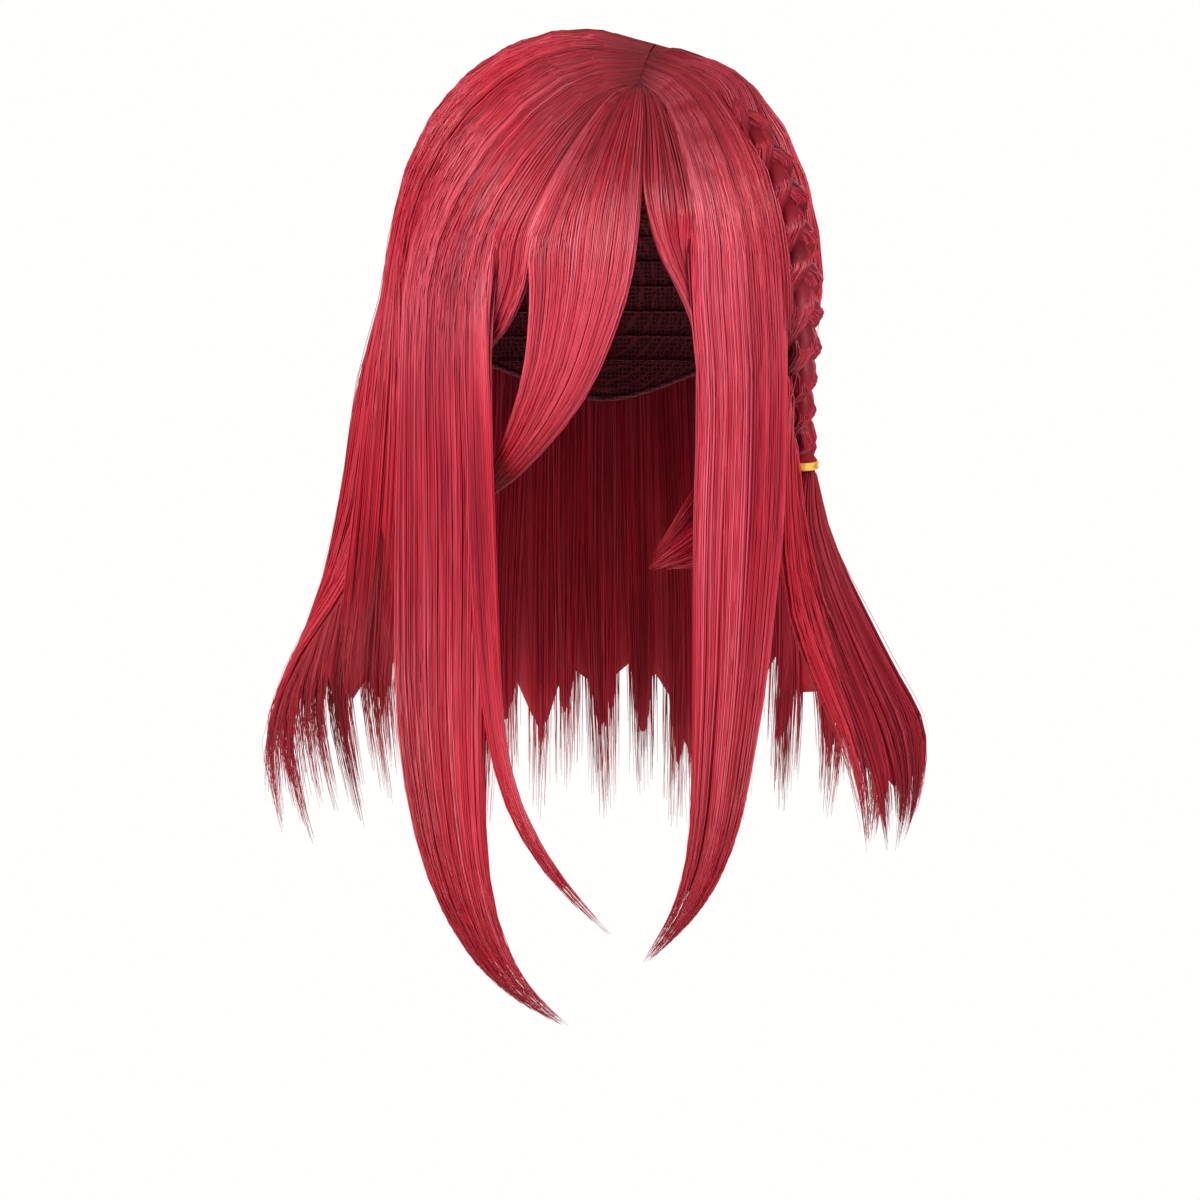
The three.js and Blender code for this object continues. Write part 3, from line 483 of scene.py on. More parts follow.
def tube_uv(corners, t, columns):
    """Each tube has its own narrow column of the map, and its ends take a point of it."""
    left, width = columns[:, 0, None, None], columns[:, 1, None, None]
    c = np.arange(corners)[None, None]
    u0, u1 = left + width * c / corners, left + width * (c + 1) / corners
    v0, v1 = t[:, :-1, None] + 0 * c, t[:, 1:, None] + 0 * c
    quads = np.stack([u0 + 0 * v0, v0, u1 + 0 * v0, v0, u1 + 0 * v0, v1, u0 + 0 * v0, v1], -1)
    caps = [np.stack(np.broadcast_arrays(columns[:, :1] + 0 * c[0], at), -1) for at in (t[:, :1], t[:, -1:])]
    return np.concatenate([quads.ravel(), caps[0].ravel(), caps[1].ravel()])


class Strands:
    """Gathers tubes of several kinds for one mesh."""

    def __init__(self):
        self.sets = []

    def add(self, paths, radius, t, tone, shade, across, corners=3, turn=0.0, flat=1.0, away=None):
        self.sets.append((paths, radius, t, tone, shade, across, corners, turn, flat, away))

    def add_one(self, path, radius, t, tone=0.5, shade=0.0, across=0.0, away=None, **options):
        """One tube, with the same tone and shade all along."""
        t = t[None]
        away = None if away is None else away[None]
        radius = np.broadcast_to(radius, t.shape)
        self.add(
            path[None], radius, t, np.array([tone]), shade + 0 * t, np.array([across]), away=away, **options
        )

    def build(self, name, material, nodes=(), slot=None):
        total = sum(len(s[0]) for s in self.sets)
        points, quads, ends, uv = [], [], [], []
        keep = {"along": [], "tone": [], "shade": [], "across": [], "down": []}
        offset = done = 0
        uv_caps = []
        for paths, radius, t, tone, shade, across, corners, turn, flat, away in self.sets:
            n, k = paths.shape[:2]
            p, q, e = tubes(paths, radius, radius * flat, corners, away, turn)
            points.append(p.reshape(-1, 3))
            quads.append(q + offset)
            ends.append(e + offset)
            offset += p.size // 3
            columns = np.stack([(done + np.arange(n)) / total, np.full(n, 0.9 / total)], -1)
            flat_uv = tube_uv(corners, t, columns)
            split = n * (k - 1) * corners * 8
            uv.append(flat_uv[:split])
            uv_caps.append((corners, flat_uv[split:]))
            done += n
            steps = np.linalg.norm(np.diff(paths, axis=1), axis=-1)
            length = np.concatenate([np.zeros((n, 1)), np.cumsum(steps, 1)], 1)
            c = np.arange(corners)[None, None] * 0.15
            values = {"along": t, "tone": tone[:, None], "shade": shade, "across": across[:, None]}
            for key, value in values.items():
                grid = np.broadcast_to(np.asarray(value), (n, k))[..., None]
                keep[key].append((grid + (c if key == "across" else 0 * c)).ravel())
            keep["down"].append(np.broadcast_to(length[..., None], (n, k, corners)).ravel())
        sizes = sorted({c for c, _ in uv_caps})
        groups = [np.concatenate(quads)]
        for size in sizes:
            groups.append(np.concatenate([e for e in ends if e.shape[1] == size]))
        uv += [u for size in sizes for c, u in uv_caps if c == size]
        attributes = {key: np.concatenate(v) for key, v in keep.items()}
        points, uv = np.concatenate(points), np.concatenate(uv)
        return finish_piece(name, points, groups, attributes, uv, material, nodes)


# Where a lock's dense body has its two faces, as shares of the lock's depth, and where they are at its tip
BODY_FRONT, BODY_BACK, TIP_FRONT, TIP_BACK = 0.22, 0.78, 0.45, 0.52
# How deep the hair by the braid is pressed in: the body's two faces and the loose strands
FRONT_SINK, BACK_SINK, STRAND_SINK = 7.5, 2, 6.5


def body_shell(key, columns, rows, keep=0.93, edges=(0.03, 0.03), gather=None, hidden=False, short=0.0):
    """The dense hair under the loose strands: a closed smooth shell a little inside the lock's own form.

    keep: the share of the length that it reaches. hidden: it runs under the braid.
    short: how much earlier it ends between the pointed locks of the hem, and how ragged its end is.
    """
    shape = LOCKS[key]
    seed = LOCK_NUMBER[key]
    rng = np.random.default_rng(seed)
    over, hang = (HEAD_ROWS if shape["seams"] else 0), len(shape["table"])
    inset = np.concatenate([np.zeros(over), np.ones(hang)])[None]
    low, high = mix(-0.008, edges[0], inset), mix(1.008, 1 - edges[1], inset)
    flat = np.linspace(0, 1, columns)
    u, reach, _, border = gathered(key, flat, np.linspace(0, 1, over + hang))
    reach = reach * (1 - short * smoothstep(border)) * (1 - 1.6 * short * rng.random(columns))
    u = mix(low, high, u)
    outer, inner = faces_of(shape, u)
    if gather is not None:
        outer = np.concatenate([gather(u[:, 0], 0 * u[:, 0] + 0.3)[:, None], outer], 1)
        inner = np.concatenate([gather(u[:, 0], 0 * u[:, 0] + 0.9)[:, None], inner], 1)
    outer_path, length = smooth_paths(outer)
    inner_path, _ = smooth_paths(inner)
    t = np.linspace(0, 1, rows)[None] * keep * reach[:, None]
    top, bottom = along_path(outer_path, t), along_path(inner_path, t)
    ridges = rng.normal(0, 0.09, columns)[:, None] + rng.normal(0, 0.02, (columns, rows))
    deep = np.clip(BODY_FRONT + ridges, 0.05, 0.6)[..., None]
    if shape["seams"]:
        deep = mix(deep, 0.7, (1 - smoothstep(t, 0, 0.06))[..., None])
    closing = 0.85 * smoothstep(np.linspace(0, 1, rows), 0.75, 1)[None, :, None]
    front = mix(top, bottom, mix(deep, TIP_FRONT, closing))
    behind = mix(top, bottom, mix(BODY_BACK, TIP_BACK, closing))
    if hidden:
        front, behind = under_braid(front, FRONT_SINK), under_braid(behind, BACK_SINK)
    points = np.concatenate([front.reshape(-1, 3), behind.reshape(-1, 3)])
    c, r = np.meshgrid(np.arange(columns - 1), np.arange(rows - 1), indexing="ij")
    a = (c * rows + r).ravel()
    size = columns * rows
    outside = np.stack([a, a + 1, a + rows + 1, a + rows], -1)
    inside = np.stack([a, a + rows, a + rows + 1, a + 1], -1) + size
    i = np.arange(rows - 1)
    left = np.stack([i, i + size, i + 1 + size, i + 1], -1)
    j = (columns - 1) * rows + i
    right = np.stack([j, j + 1, j + 1 + size, j + size], -1)
    h = np.arange(columns - 1) * rows
    head = np.stack([h, h + rows, h + rows + size, h + size], -1)
    foot = np.stack([h, h + size, h + rows + size, h + rows], -1) + rows - 1
    quads = np.concatenate([outside, inside, left, right, head, foot])
    wide = np.linalg.norm(np.diff(front[:, rows // 2], axis=0), axis=-1).sum()
    across = np.broadcast_to(np.linspace(0, wide, columns)[:, None], (columns, rows))
    uu = np.broadcast_to(np.linspace(0, 0.49, columns)[:, None], (columns, rows)).ravel()
    uv_points = np.stack([np.concatenate([uu, uu + 0.5]), np.concatenate([t.ravel() / keep] * 2)], -1)
    attributes = {
        "along": np.concatenate([t.ravel()] * 2),
        "tone": np.full(2 * size, 0.45),
        # Painted shade: the dense body is darker than the loose strands over it, its inner face most
        "shade": np.concatenate([np.full(size, 0.25), np.full(size, 0.3)]),
        "across": np.concatenate([across.ravel(), across.ravel() + 37]) + 200 * seed,
        "down": np.concatenate([(t * length).ravel()] * 2),
    }
    return points, quads, attributes, uv_points[quads.ravel()]


def join_shells(name, shells, material, nodes):
    """One piece from several shells, each with its own part of the map."""
    points, quads, uvs, offset = [], [], [], 0
    attributes = {}
    for i, (p, q, attribute, uv) in enumerate(shells):
        points.append(p)
        quads.append(q + offset)
        offset += len(p)
        uvs.append((uv + [i, 0]) / [len(shells), 1])
        for key, value in attribute.items():
            attributes.setdefault(key, []).append(value)
    attributes = {key: np.concatenate(v) for key, v in attributes.items()}
    points, quads, uv = np.concatenate(points), np.concatenate(quads), np.concatenate(uvs)
    return finish_piece(name, points, [quads], attributes, uv, material, nodes)


# ---------------------------------------------------------------- the braid
def read_table(rows, at):
    """Each column of a table between its rows, with smooth changes from row to row."""
    rows = np.array(rows, float)
    at = np.asarray(at, float)
    low = np.clip(np.searchsorted(rows[:, 0], at, "right") - 1, 0, len(rows) - 2)
    share = smoothstep((at - rows[low, 0]) / (rows[low + 1, 0] - rows[low, 0]))
    return mix(rows[low, 1:], rows[low + 1, 1:], share[..., None])


def braid_route():
    """The braid's middle line as dense points, and how far along it each one lies."""
    table = np.array(BRAID_ON_HEAD, float)
    way = direction(table[:, 0], table[:, 1])
    start = on_head(way, hair_lift(way) + BRAID_PROUD - (0.5 + table[:, 2]) * BRAID_THICKNESS)
    hang = np.array(BRAID_HANGING) * [1, HALF_WIDTH, HALF_DEPTH]
    end = np.stack([hang[:, 1], hang[:, 2], -hang[:, 0] * TAIL_LENGTH], -1)
    rows = np.concatenate([start, end])
    knots = np.concatenate([[0], np.cumsum(np.linalg.norm(np.diff(rows, axis=0), axis=-1) ** 0.5)])
    dense = curve_weights(knots, np.linspace(0, knots[-1], 600)) @ rows
    length = np.concatenate([[0], np.cumsum(np.linalg.norm(np.diff(dense, axis=0), axis=-1))])
    return dense, length


ROUTE, ROUTE_LENGTHS = braid_route()
ROUTE_LENGTH = ROUTE_LENGTHS[-1]


def braid_frame(along):
    """At shares along: the middle line's place, tangent, outward and side directions, and the plait's half
    width and half thickness."""
    along = np.asarray(along, float)

    def read(line):
        return np.stack([np.interp(along * ROUTE_LENGTH, ROUTE_LENGTHS, line[:, i]) for i in range(3)], -1)

    place = read(ROUTE)
    tangent = unit(read(unit(np.gradient(ROUTE, axis=0))))
    away = np.stack([place[..., 0], place[..., 1] * 0.8, np.maximum(0, place[..., 2] + CROWN_HEIGHT)], -1)
    out = unit(away - tangent * dot(away, tangent))
    full = read_table(BRAID_SHAPE, along)[..., 0]
    wide = mix(NECK_RADIUS, BRAID_WIDTH / 2, full)
    thick = mix(NECK_RADIUS * NECK_FLATNESS, BRAID_THICKNESS / 2, full)
    return place, tangent, out, np.cross(out, tangent), wide, thick


def under_braid(paths, sink):
    """Presses the hair in around the braid, more widely at its back, so that the braid stands out of it.

    The press fades out, in mm, to the two sides, past the braid's ends and above and below its middle line.
    """
    flat = paths.reshape(-1, 3)
    along = np.linspace(0, 1, 160)
    place, tangent, out, side, _, _ = braid_frame(along)
    near = np.empty(len(flat), int)
    for i in range(0, len(flat), 20000):
        gaps = ((flat[i : i + 20000, None] - place[None]) ** 2).sum(-1)
        near[i : i + 20000] = gaps.argmin(1)
    off = flat - place[near]
    across, height, beyond = ((off * v[near]).sum(-1) for v in (side, out, tangent))
    pressed = (1 - smoothstep(-across, 9, 15)) * (1 - smoothstep(across, 12, 36))
    pressed = pressed * smoothstep(along[near], 0.02, 0.14) * (1 - smoothstep(np.abs(beyond), 5, 30))
    pressed = pressed * (1 - smoothstep(np.abs(height), 12, 20))
    return paths - (out[near] * (sink * pressed)[:, None]).reshape(paths.shape)


# ---------------------------------------------------------------- loose strands
def spread(rng, count):
    """Random shares from 0 to 1, one in each of count even steps."""
    return (np.arange(count) + rng.random(count)) / count


def strand_paths(
    key, count, rng, steps=20, sway=0.01, shallow=0.35, inner_share=0.15, ends=(0.86, 1.0), edges=(0.0, 1.0),
    proud=0.35, bunch=None, hidden=False,
):
    """Paths of loose strands. They draw together into pointed locks as they go down.

    shallow: how deep the outer ones lie, as a share of the lock's depth. inner_share: how many lie at its
    inner face. ends: how much of the length they reach. edges: the part of the width they grow on.
    proud: how far they stand off, in mm. bunch: where they come from, if not from the head.
    hidden: they run under the braid.
    """
    shape = LOCKS[key]
    over = HEAD_ROWS if shape["seams"] else 0
    rows = over + len(shape["table"])
    u0 = mix(edges[0], edges[1], spread(rng, count))
    share = np.linspace(0, 1, rows)
    u, hem_reach, pull, _ = gathered(key, u0, share)
    turns = share[None] * rng.uniform(0.6, 1.4, (count, 1)) + rng.random((count, 1))
    u = u + sway * np.sin(2 * np.pi * turns) * smoothstep(share, 0.1, 0.6)
    u = np.clip(u, min(edges[0], -0.012), 1.012)
    outer, inner = faces_of(shape, u)
    depth = rng.random(count) ** 1.2 * shallow
    under = rng.random(count) < inner_share
    depth = np.where(under, rng.uniform(0.8, 1.04, count), depth)
    rows_depth = mix(depth[:, None], 0.45, 0.7 * pull[None])
    if shape["seams"]:
        root = 1 - smoothstep(np.arange(rows) / HEAD_ROWS, 0, 0.2)
        rows_depth = mix(rows_depth, 0.4, root[None])
    points = mix(outer, inner, rows_depth[..., None])
    if bunch is not None:
        points = np.concatenate([bunch(u0, depth)[:, None], points], 1)
    paths, _ = smooth_paths(points)
    lift = rng.gamma(1.5, proud / 1.5, count) * (~under)
    rise = smoothstep(np.linspace(0, 1, DENSE), 0.12, 0.4)[None] * lift[:, None]
    paths = paths + unit(outward_of(paths)) * rise[..., None]
    if hidden:
        paths = under_braid(paths, STRAND_SINK)
    t = curved_steps(paths, steps)
    reach = rng.uniform(*ends, count) * hem_reach
    t = t[None] * reach[:, None]
    return along_path(paths, t), t, under, u0


def curved_steps(paths, steps):
    """Shares of the length at which a strand gets its rings, closer together where the hair bends."""
    bend = np.linalg.norm(np.diff(paths, 2, axis=1), axis=-1).mean(0)
    density = np.sqrt(np.pad(bend, 1, mode="edge"))
    density = density + 0.35 * density.mean()
    total = np.concatenate([[0], np.cumsum(density[1:] + density[:-1])])
    return np.interp(np.linspace(0, total[-1], steps), total, np.linspace(0, 1, DENSE))


ROOT_SIZE, TIP_SIZE = 0.55, 0.18


def strand_radius(t, rng, radius):
    size = radius * rng.uniform(0.8, 1.2, (len(t), 1))
    share = t / t[:, -1:]
    return size * mix(1, TIP_SIZE, smoothstep(share, 0.8, 1)) * mix(ROOT_SIZE, 1, smoothstep(share, 0, 0.04))


def width_of(shape):
    """The lock's greatest width in mm."""
    rows = (HEAD_ROWS if shape["seams"] else 0) + len(shape["table"])
    outer, _ = faces_of(shape, np.array([0.0, 1.0])[:, None] + np.zeros((1, rows)))
    return np.linalg.norm(outer[1] - outer[0], axis=-1).max()


def add_lock(strands, key, count, seed, radius=0.26, shade=0.0, pale=0.0, **options):
    """Adds a lock's loose strands. pale: how much paler than the rest they are."""
    rng = np.random.default_rng(seed)
    shape = LOCKS[key]
    paths, t, under, u0 = strand_paths(key, count, rng, **options)
    tone = rng.random(count) * 0.9 + pale
    # Painted shade: strands at the lock's inner face are darker
    shades = np.broadcast_to((shade + np.where(under, 0.12, 0.0))[:, None], t.shape)
    across = u0 * width_of(shape) + rng.normal(0, 0.3, count) + 200 * LOCK_NUMBER[key]
    size = strand_radius(t, rng, radius)
    strands.add(paths, size, t, tone, shades, across, turn=rng.random((count, 1, 1)) * 6.28)


# ---------------------------------------------------------------- materials
def linear(red, green, blue):
    """A colour given as 0 to 255 on a screen, as the shader takes it."""
    out = []
    for value in (red, green, blue):
        s = value / 255
        out.append(s / 12.92 if s <= 0.04045 else ((s + 0.055) / 1.055) ** 2.4)
    return (*out, 1.0)


def make(tree, kind, values=None, **settings):
    """A shader node with its settings and the values of its unlinked inputs."""
    node = tree.nodes.new(kind)
    for key, value in settings.items():
        setattr(node, key, value)
    for key, value in (values or {}).items():
        node.inputs[key].default_value = value
    return node


def group_tree(name, inputs, outputs):
    tree = bpy.data.node_groups.new(name, "ShaderNodeTree")
    for label, kind, default in inputs:
        socket = tree.interface.new_socket(label, in_out="INPUT", socket_type=kind)
        socket.default_value = default
    for label, kind in outputs:
        tree.interface.new_socket(label, in_out="OUTPUT", socket_type=kind)
    return tree, tree.nodes.new("NodeGroupInput"), tree.nodes.new("NodeGroupOutput")


def attribute(tree, name):
    return make(tree, "ShaderNodeAttribute", attribute_name=name).outputs["Fac"]


def maths(tree, operation, a, b):
    node = make(tree, "ShaderNodeMath", operation=operation)
    for i, value in enumerate((a, b)):
        if isinstance(value, (int, float)):
            node.inputs[i].default_value = value
        else:
            tree.links.new(value, node.inputs[i])
    return node.outputs[0]


def remap(tree, value, low, high, to_low, to_high):
    """A smooth change from to_low to to_high as the value goes from low to high."""
    node = make(tree, "ShaderNodeMapRange", {1: low, 2: high, 3: to_low, 4: to_high})
    node.interpolation_type = "SMOOTHSTEP"
    tree.links.new(value, node.inputs[0])
    return node.outputs[0]


def blend_colour(tree, share, a, b):
    node = make(tree, "ShaderNodeMix", data_type="RGBA", blend_type="MIX")
    for i, value in ((0, share), (6, a), (7, b)):
        if isinstance(value, (int, float, tuple)):
            node.inputs[i].default_value = value
        else:
            tree.links.new(value, node.inputs[i])
    return node.outputs[2]


def fibre_noise(tree, across_scale, down_scale, detail, seed):
    """Noise that is drawn out along the hair. The scales are for each mm across it and down it."""
    place = make(tree, "ShaderNodeCombineXYZ", {2: seed})
    tree.links.new(maths(tree, "MULTIPLY", attribute(tree, "across"), across_scale), place.inputs[0])
    tree.links.new(maths(tree, "MULTIPLY", attribute(tree, "down"), down_scale), place.inputs[1])
    noise = make(tree, "ShaderNodeTexNoise", {"Scale": 1.0, "Detail": detail, "Roughness": 0.6})
    tree.links.new(place.outputs[0], noise.inputs["Vector"])
    return noise.outputs["Fac"]


# A fan of painted shade below the parting: its centre, where it is full and where it ends, and its strength
PARTING_FAN = on_head(direction(np.array(8.0), np.array(50.0)), np.array(OVER_HAIR))
FAN_FULL, FAN_END, FAN_SHARE = 0.022, 0.062, 0.75
# A band of painted sheen where the hair turns down: its heights in metres and its strength
SHEEN_BELOW, SHEEN_LOW, SHEEN_HIGH, SHEEN_ABOVE, SHEEN_SHARE = -0.175, -0.115, -0.11, -0.06, 0.22


def hair_colour_group():
    """The hair's colour, with paler and deeper fibres.

    It is dark at the roots, and dark with painted shade in a fan below the parting; a painted sheen makes it
    a little paler in a band where the hair turns down. The fan's and the sheen band's sizes are in metres.
    """
    colours = [
        ("Root", "NodeSocketColor", (0.2, 0.01, 0.02, 1)),
        ("Middle", "NodeSocketColor", (0.4, 0.02, 0.04, 1)),
        ("Tip", "NodeSocketColor", (0.4, 0.02, 0.04, 1)),
        ("Pale", "NodeSocketColor", (0.6, 0.1, 0.15, 1)),
        ("Deep", "NodeSocketColor", (0.1, 0.005, 0.01, 1)),
    ]
    puts_out = [("Color", "NodeSocketColor"), ("Streak", "NodeSocketFloat")]
    tree, given, result = group_tree("hair_colour", colours, puts_out)

    def times(a, b):
        return maths(tree, "MULTIPLY", a, b)

    def towards(name, share, colour):
        return blend_colour(tree, share, colour, given.outputs[name])

    along, tone, shade = (attribute(tree, key) for key in ("along", "tone", "shade"))
    wander = maths(tree, "SUBTRACT", fibre_noise(tree, 0.05, 0.012, 1.0, 7.0), 0.5)
    place = maths(tree, "ADD", along, times(wander, 0.25))
    near_root = maths(tree, "ADD", attribute(tree, "down"), times(wander, 50))
    colour = towards("Middle", remap(tree, near_root, 5, 88, 0, 1), given.outputs["Root"])
    colour = towards("Tip", remap(tree, place, 0.5, 0.95, 0, 1), colour)
    # lit: where painted sheen may show, less near the roots and towards the tips
    lit = times(remap(tree, near_root, 5, 70, 0.55, 1), remap(tree, place, 0.55, 0.95, 1, 0.5))
    on_wig = make(tree, "ShaderNodeTexCoord").outputs["Object"]
    distance = make(tree, "ShaderNodeVectorMath", {1: tuple(PARTING_FAN * MM)}, operation="DISTANCE")
    tree.links.new(on_wig, distance.inputs[0])
    # Painted shade: the dark fan below the parting, which also takes away painted sheen
    fan = remap(tree, distance.outputs["Value"], FAN_FULL, FAN_END, FAN_SHARE, 0)
    colour = towards("Root", fan, colour)
    lit = times(lit, maths(tree, "SUBTRACT", 1.0, times(fan, 0.6)))
    height = make(tree, "ShaderNodeSeparateXYZ")
    tree.links.new(on_wig, height.inputs[0])
    # Painted sheen: a paler band where the hair turns down
    rise = remap(tree, height.outputs["Z"], SHEEN_BELOW, SHEEN_LOW, 0, 1)
    fall = remap(tree, height.outputs["Z"], SHEEN_HIGH, SHEEN_ABOVE, 1, 0)
    colour = towards("Pale", times(times(rise, fall), SHEEN_SHARE), colour)
    streak = fibre_noise(tree, 1.6, 0.012, 3.0, 2.0)
    broad = fibre_noise(tree, 0.16, 0.004, 2.0, 5.0)
    mixed = maths(tree, "ADD", times(tone, 0.5), times(streak, 0.5))
    # Paler and deeper fibres at random; the paler ones are partly painted sheen, so they follow lit
    colour = towards("Pale", times(remap(tree, broad, 0.5, 0.7, 0, 0.5), lit), colour)
    colour = towards("Deep", remap(tree, broad, 0.3, 0.5, 0.5, 0), colour)
    colour = towards("Pale", times(remap(tree, mixed, 0.5, 0.9, 0, 0.65), lit), colour)
    colour = towards("Deep", remap(tree, mixed, 0.1, 0.42, 0.5, 0), colour)
    # shade: painted shade, set where the pieces are built: the dense body under the loose strands, inner
    # strands, the braid's creases and its bound neck
    colour = towards("Deep", shade, colour)
    tree.links.new(colour, result.inputs["Color"])
    tree.links.new(streak, result.inputs["Streak"])
    return tree


def fibre_relief_group():
    """The height of single fibres and of broader strands."""
    tree, _, result = group_tree("fibre_relief", [], [("Height", "NodeSocketFloat")])
    fine = fibre_noise(tree, 3.2, 0.01, 2.0, 4.0)
    coarse = fibre_noise(tree, 0.5, 0.006, 1.0, 9.0)
    height = maths(tree, "ADD", maths(tree, "MULTIPLY", fine, 0.7), coarse)
    tree.links.new(height, result.inputs["Height"])
    return tree


def new_material(name):
    material = bpy.data.materials.new(name)
    material.use_nodes = True
    return material, material.node_tree, material.node_tree.nodes["Principled BSDF"]


def add_relief(tree, shader, height, strength, distance):
    bump = make(tree, "ShaderNodeBump", {"Strength": strength, "Distance": distance})
    tree.links.new(height, bump.inputs["Height"])
    tree.links.new(bump.outputs["Normal"], shader.inputs["Normal"])


def hair_material(name, colours, roughness=0.32, gloss_level=0.45):
    """Glossy hair, rougher near its root. colours: root, middle, tip, pale and deep."""
    material, tree, shader = new_material(name)
    paint = make(tree, "ShaderNodeGroup", node_tree=bpy.data.node_groups["hair_colour"])
    for key, value in zip(("Root", "Middle", "Tip", "Pale", "Deep"), colours):
        paint.inputs[key].default_value = linear(*value)
    tree.links.new(paint.outputs["Color"], shader.inputs["Base Color"])
    gloss = remap(tree, paint.outputs["Streak"], 0.3, 0.7, roughness + 0.06, roughness - 0.04)
    gloss = maths(tree, "ADD", gloss, remap(tree, attribute(tree, "down"), 5, 75, 0.42, 0))
    tree.links.new(gloss, shader.inputs["Roughness"])
    shader.inputs["Specular IOR Level"].default_value = gloss_level
    relief = make(tree, "ShaderNodeGroup", node_tree=bpy.data.node_groups["fibre_relief"])
    add_relief(tree, shader, relief.outputs["Height"], 0.6, 0.0006)
    return material


hair_colour_group()
fibre_relief_group()
ROSE = [(132, 3, 20), (190, 34, 56), (180, 12, 36), (226, 102, 120), (84, 3, 18)]
# SHADED: the rose colours for the back hair, mostly a little darker and deeper, as painted shade
SHADED = [(126, 6, 24), (190, 26, 48), (196, 24, 46), (214, 80, 98), (84, 3, 16)]
PLAIT = [(146, 10, 30), (160, 18, 38), (166, 20, 42), (214, 84, 102), (48, 1, 10)]
hair = hair_material("hair", ROSE)
shaded_hair = hair_material("shaded_hair", SHADED)
braid_hair = hair_material("braid_hair", PLAIT, 0.38, 0.35)
hair_under = hair_material("hair_under", ROSE, 0.42, 0.3)
shaded_under = hair_material("shaded_under", SHADED, 0.42, 0.3)
braid_under = hair_material("braid_under", PLAIT, 0.5, 0.2)


def net_material():
    """A fine knitted net, darker between its threads."""
    material, tree, shader = new_material("net")
    coordinates = make(tree, "ShaderNodeTexCoord")
    cells = make(
        tree, "ShaderNodeTexVoronoi", {"Scale": 520.0, "Randomness": 0.25}, feature="DISTANCE_TO_EDGE"
    )
    tree.links.new(coordinates.outputs["Object"], cells.inputs["Vector"])
    thread = remap(tree, cells.outputs["Distance"], 0.05, 0.22, 1, 0)
    colour = blend_colour(tree, thread, linear(64, 18, 28), linear(136, 46, 60))
    tree.links.new(colour, shader.inputs["Base Color"])
    shader.inputs["Roughness"].default_value = 0.8
    add_relief(tree, shader, thread, 0.8, 0.0004)
    return material


def elastic_material():
    """A thin yellow rubber band with a slightly uneven colour."""
    material, tree, shader = new_material("elastic")
    coordinates = make(tree, "ShaderNodeTexCoord")
    noise = make(tree, "ShaderNodeTexNoise", {"Scale": 260.0, "Detail": 3.0})
    tree.links.new(coordinates.outputs["Object"], noise.inputs["Vector"])
    paler = remap(tree, noise.outputs["Fac"], 0.3, 0.7, 0, 1)
    colour = blend_colour(tree, paler, linear(196, 132, 30), linear(236, 184, 78))
    tree.links.new(colour, shader.inputs["Base Color"])
    shader.inputs["Roughness"].default_value = 0.42
    add_relief(tree, shader, noise.outputs["Fac"], 0.3, 0.0002)
    return material


net = net_material()
elastic = elastic_material()


# ---------------------------------------------------------------- camera, light and floor
CAMERA_AIM, CAMERA_TILT, CAMERA_DISTANCE, CAMERA_LENS = (-1.8, 0, -241.2), 5, 2.0, 135.4
LIGHT_AIM = (0, 0, -0.2)
ROOM_SEEN, ROOM_LIGHT, ROOM_MIRRORED = 1.0, 0.62, 0.15


def place_camera():
    target = Vector(CAMERA_AIM) * MM
    tilt = math.radians(CAMERA_TILT)
    data = bpy.data.cameras.new("camera")
    data.lens, data.sensor_width = CAMERA_LENS, 36
    camera = bpy.data.objects.new("camera", data)
    camera.location = target + Vector((0, -math.cos(tilt), math.sin(tilt))) * CAMERA_DISTANCE
    camera.rotation_euler = (target - camera.location).to_track_quat("-Z", "Y").to_euler()
    bpy.context.scene.collection.objects.link(camera)
    bpy.context.scene.camera = camera


def soft_light(name, place, size, power):
    data = bpy.data.lights.new(name, "AREA")
    data.shape, data.size, data.size_y = "RECTANGLE", size[0], size[1]
    data.energy = power
    light = bpy.data.objects.new(name, data)
    light.location = place
    light.rotation_euler = (Vector(LIGHT_AIM) - Vector(place)).to_track_quat("-Z", "Y").to_euler()
    bpy.context.scene.collection.objects.link(light)


def pale_room():
    """A pale room, brighter to the camera than to the hair, and dimmer still in its gloss; and the floor."""
    world = bpy.data.worlds.new("room")
    world.use_nodes = True
    tree = world.node_tree
    tree.nodes.clear()
    seen = make(tree, "ShaderNodeBackground", {"Color": (1, 1, 0.99, 1), "Strength": ROOM_SEEN})
    light = make(tree, "ShaderNodeBackground", {"Color": (1, 1, 1, 1), "Strength": ROOM_LIGHT})
    mirrored = make(tree, "ShaderNodeBackground", {"Color": (1, 1, 1, 1), "Strength": ROOM_MIRRORED})
    rays = make(tree, "ShaderNodeLightPath")
    choose, choose_mirrored = make(tree, "ShaderNodeMixShader"), make(tree, "ShaderNodeMixShader")
    out = make(tree, "ShaderNodeOutputWorld")
    for output, into in (
        (rays.outputs["Is Camera Ray"], choose.inputs[0]),
        (rays.outputs["Is Glossy Ray"], choose_mirrored.inputs[0]),
        (light.outputs[0], choose_mirrored.inputs[1]),
        (mirrored.outputs[0], choose_mirrored.inputs[2]),
        (choose_mirrored.outputs[0], choose.inputs[1]),
        (seen.outputs[0], choose.inputs[2]),
        (choose.outputs[0], out.inputs[0]),
    ):
        tree.links.new(output, into)
    bpy.context.scene.world = world
    bpy.ops.mesh.primitive_circle_add(vertices=96, radius=0.8, fill_type="NGON", location=(0, -0.1, -0.75))
    floor = bpy.context.object
    floor.name = "floor"
    material, _, shader = new_material("floor")
    shader.inputs["Base Color"].default_value = linear(242, 242, 240)
    shader.inputs["Roughness"].default_value = 0.9
    floor.data.materials.append(material)


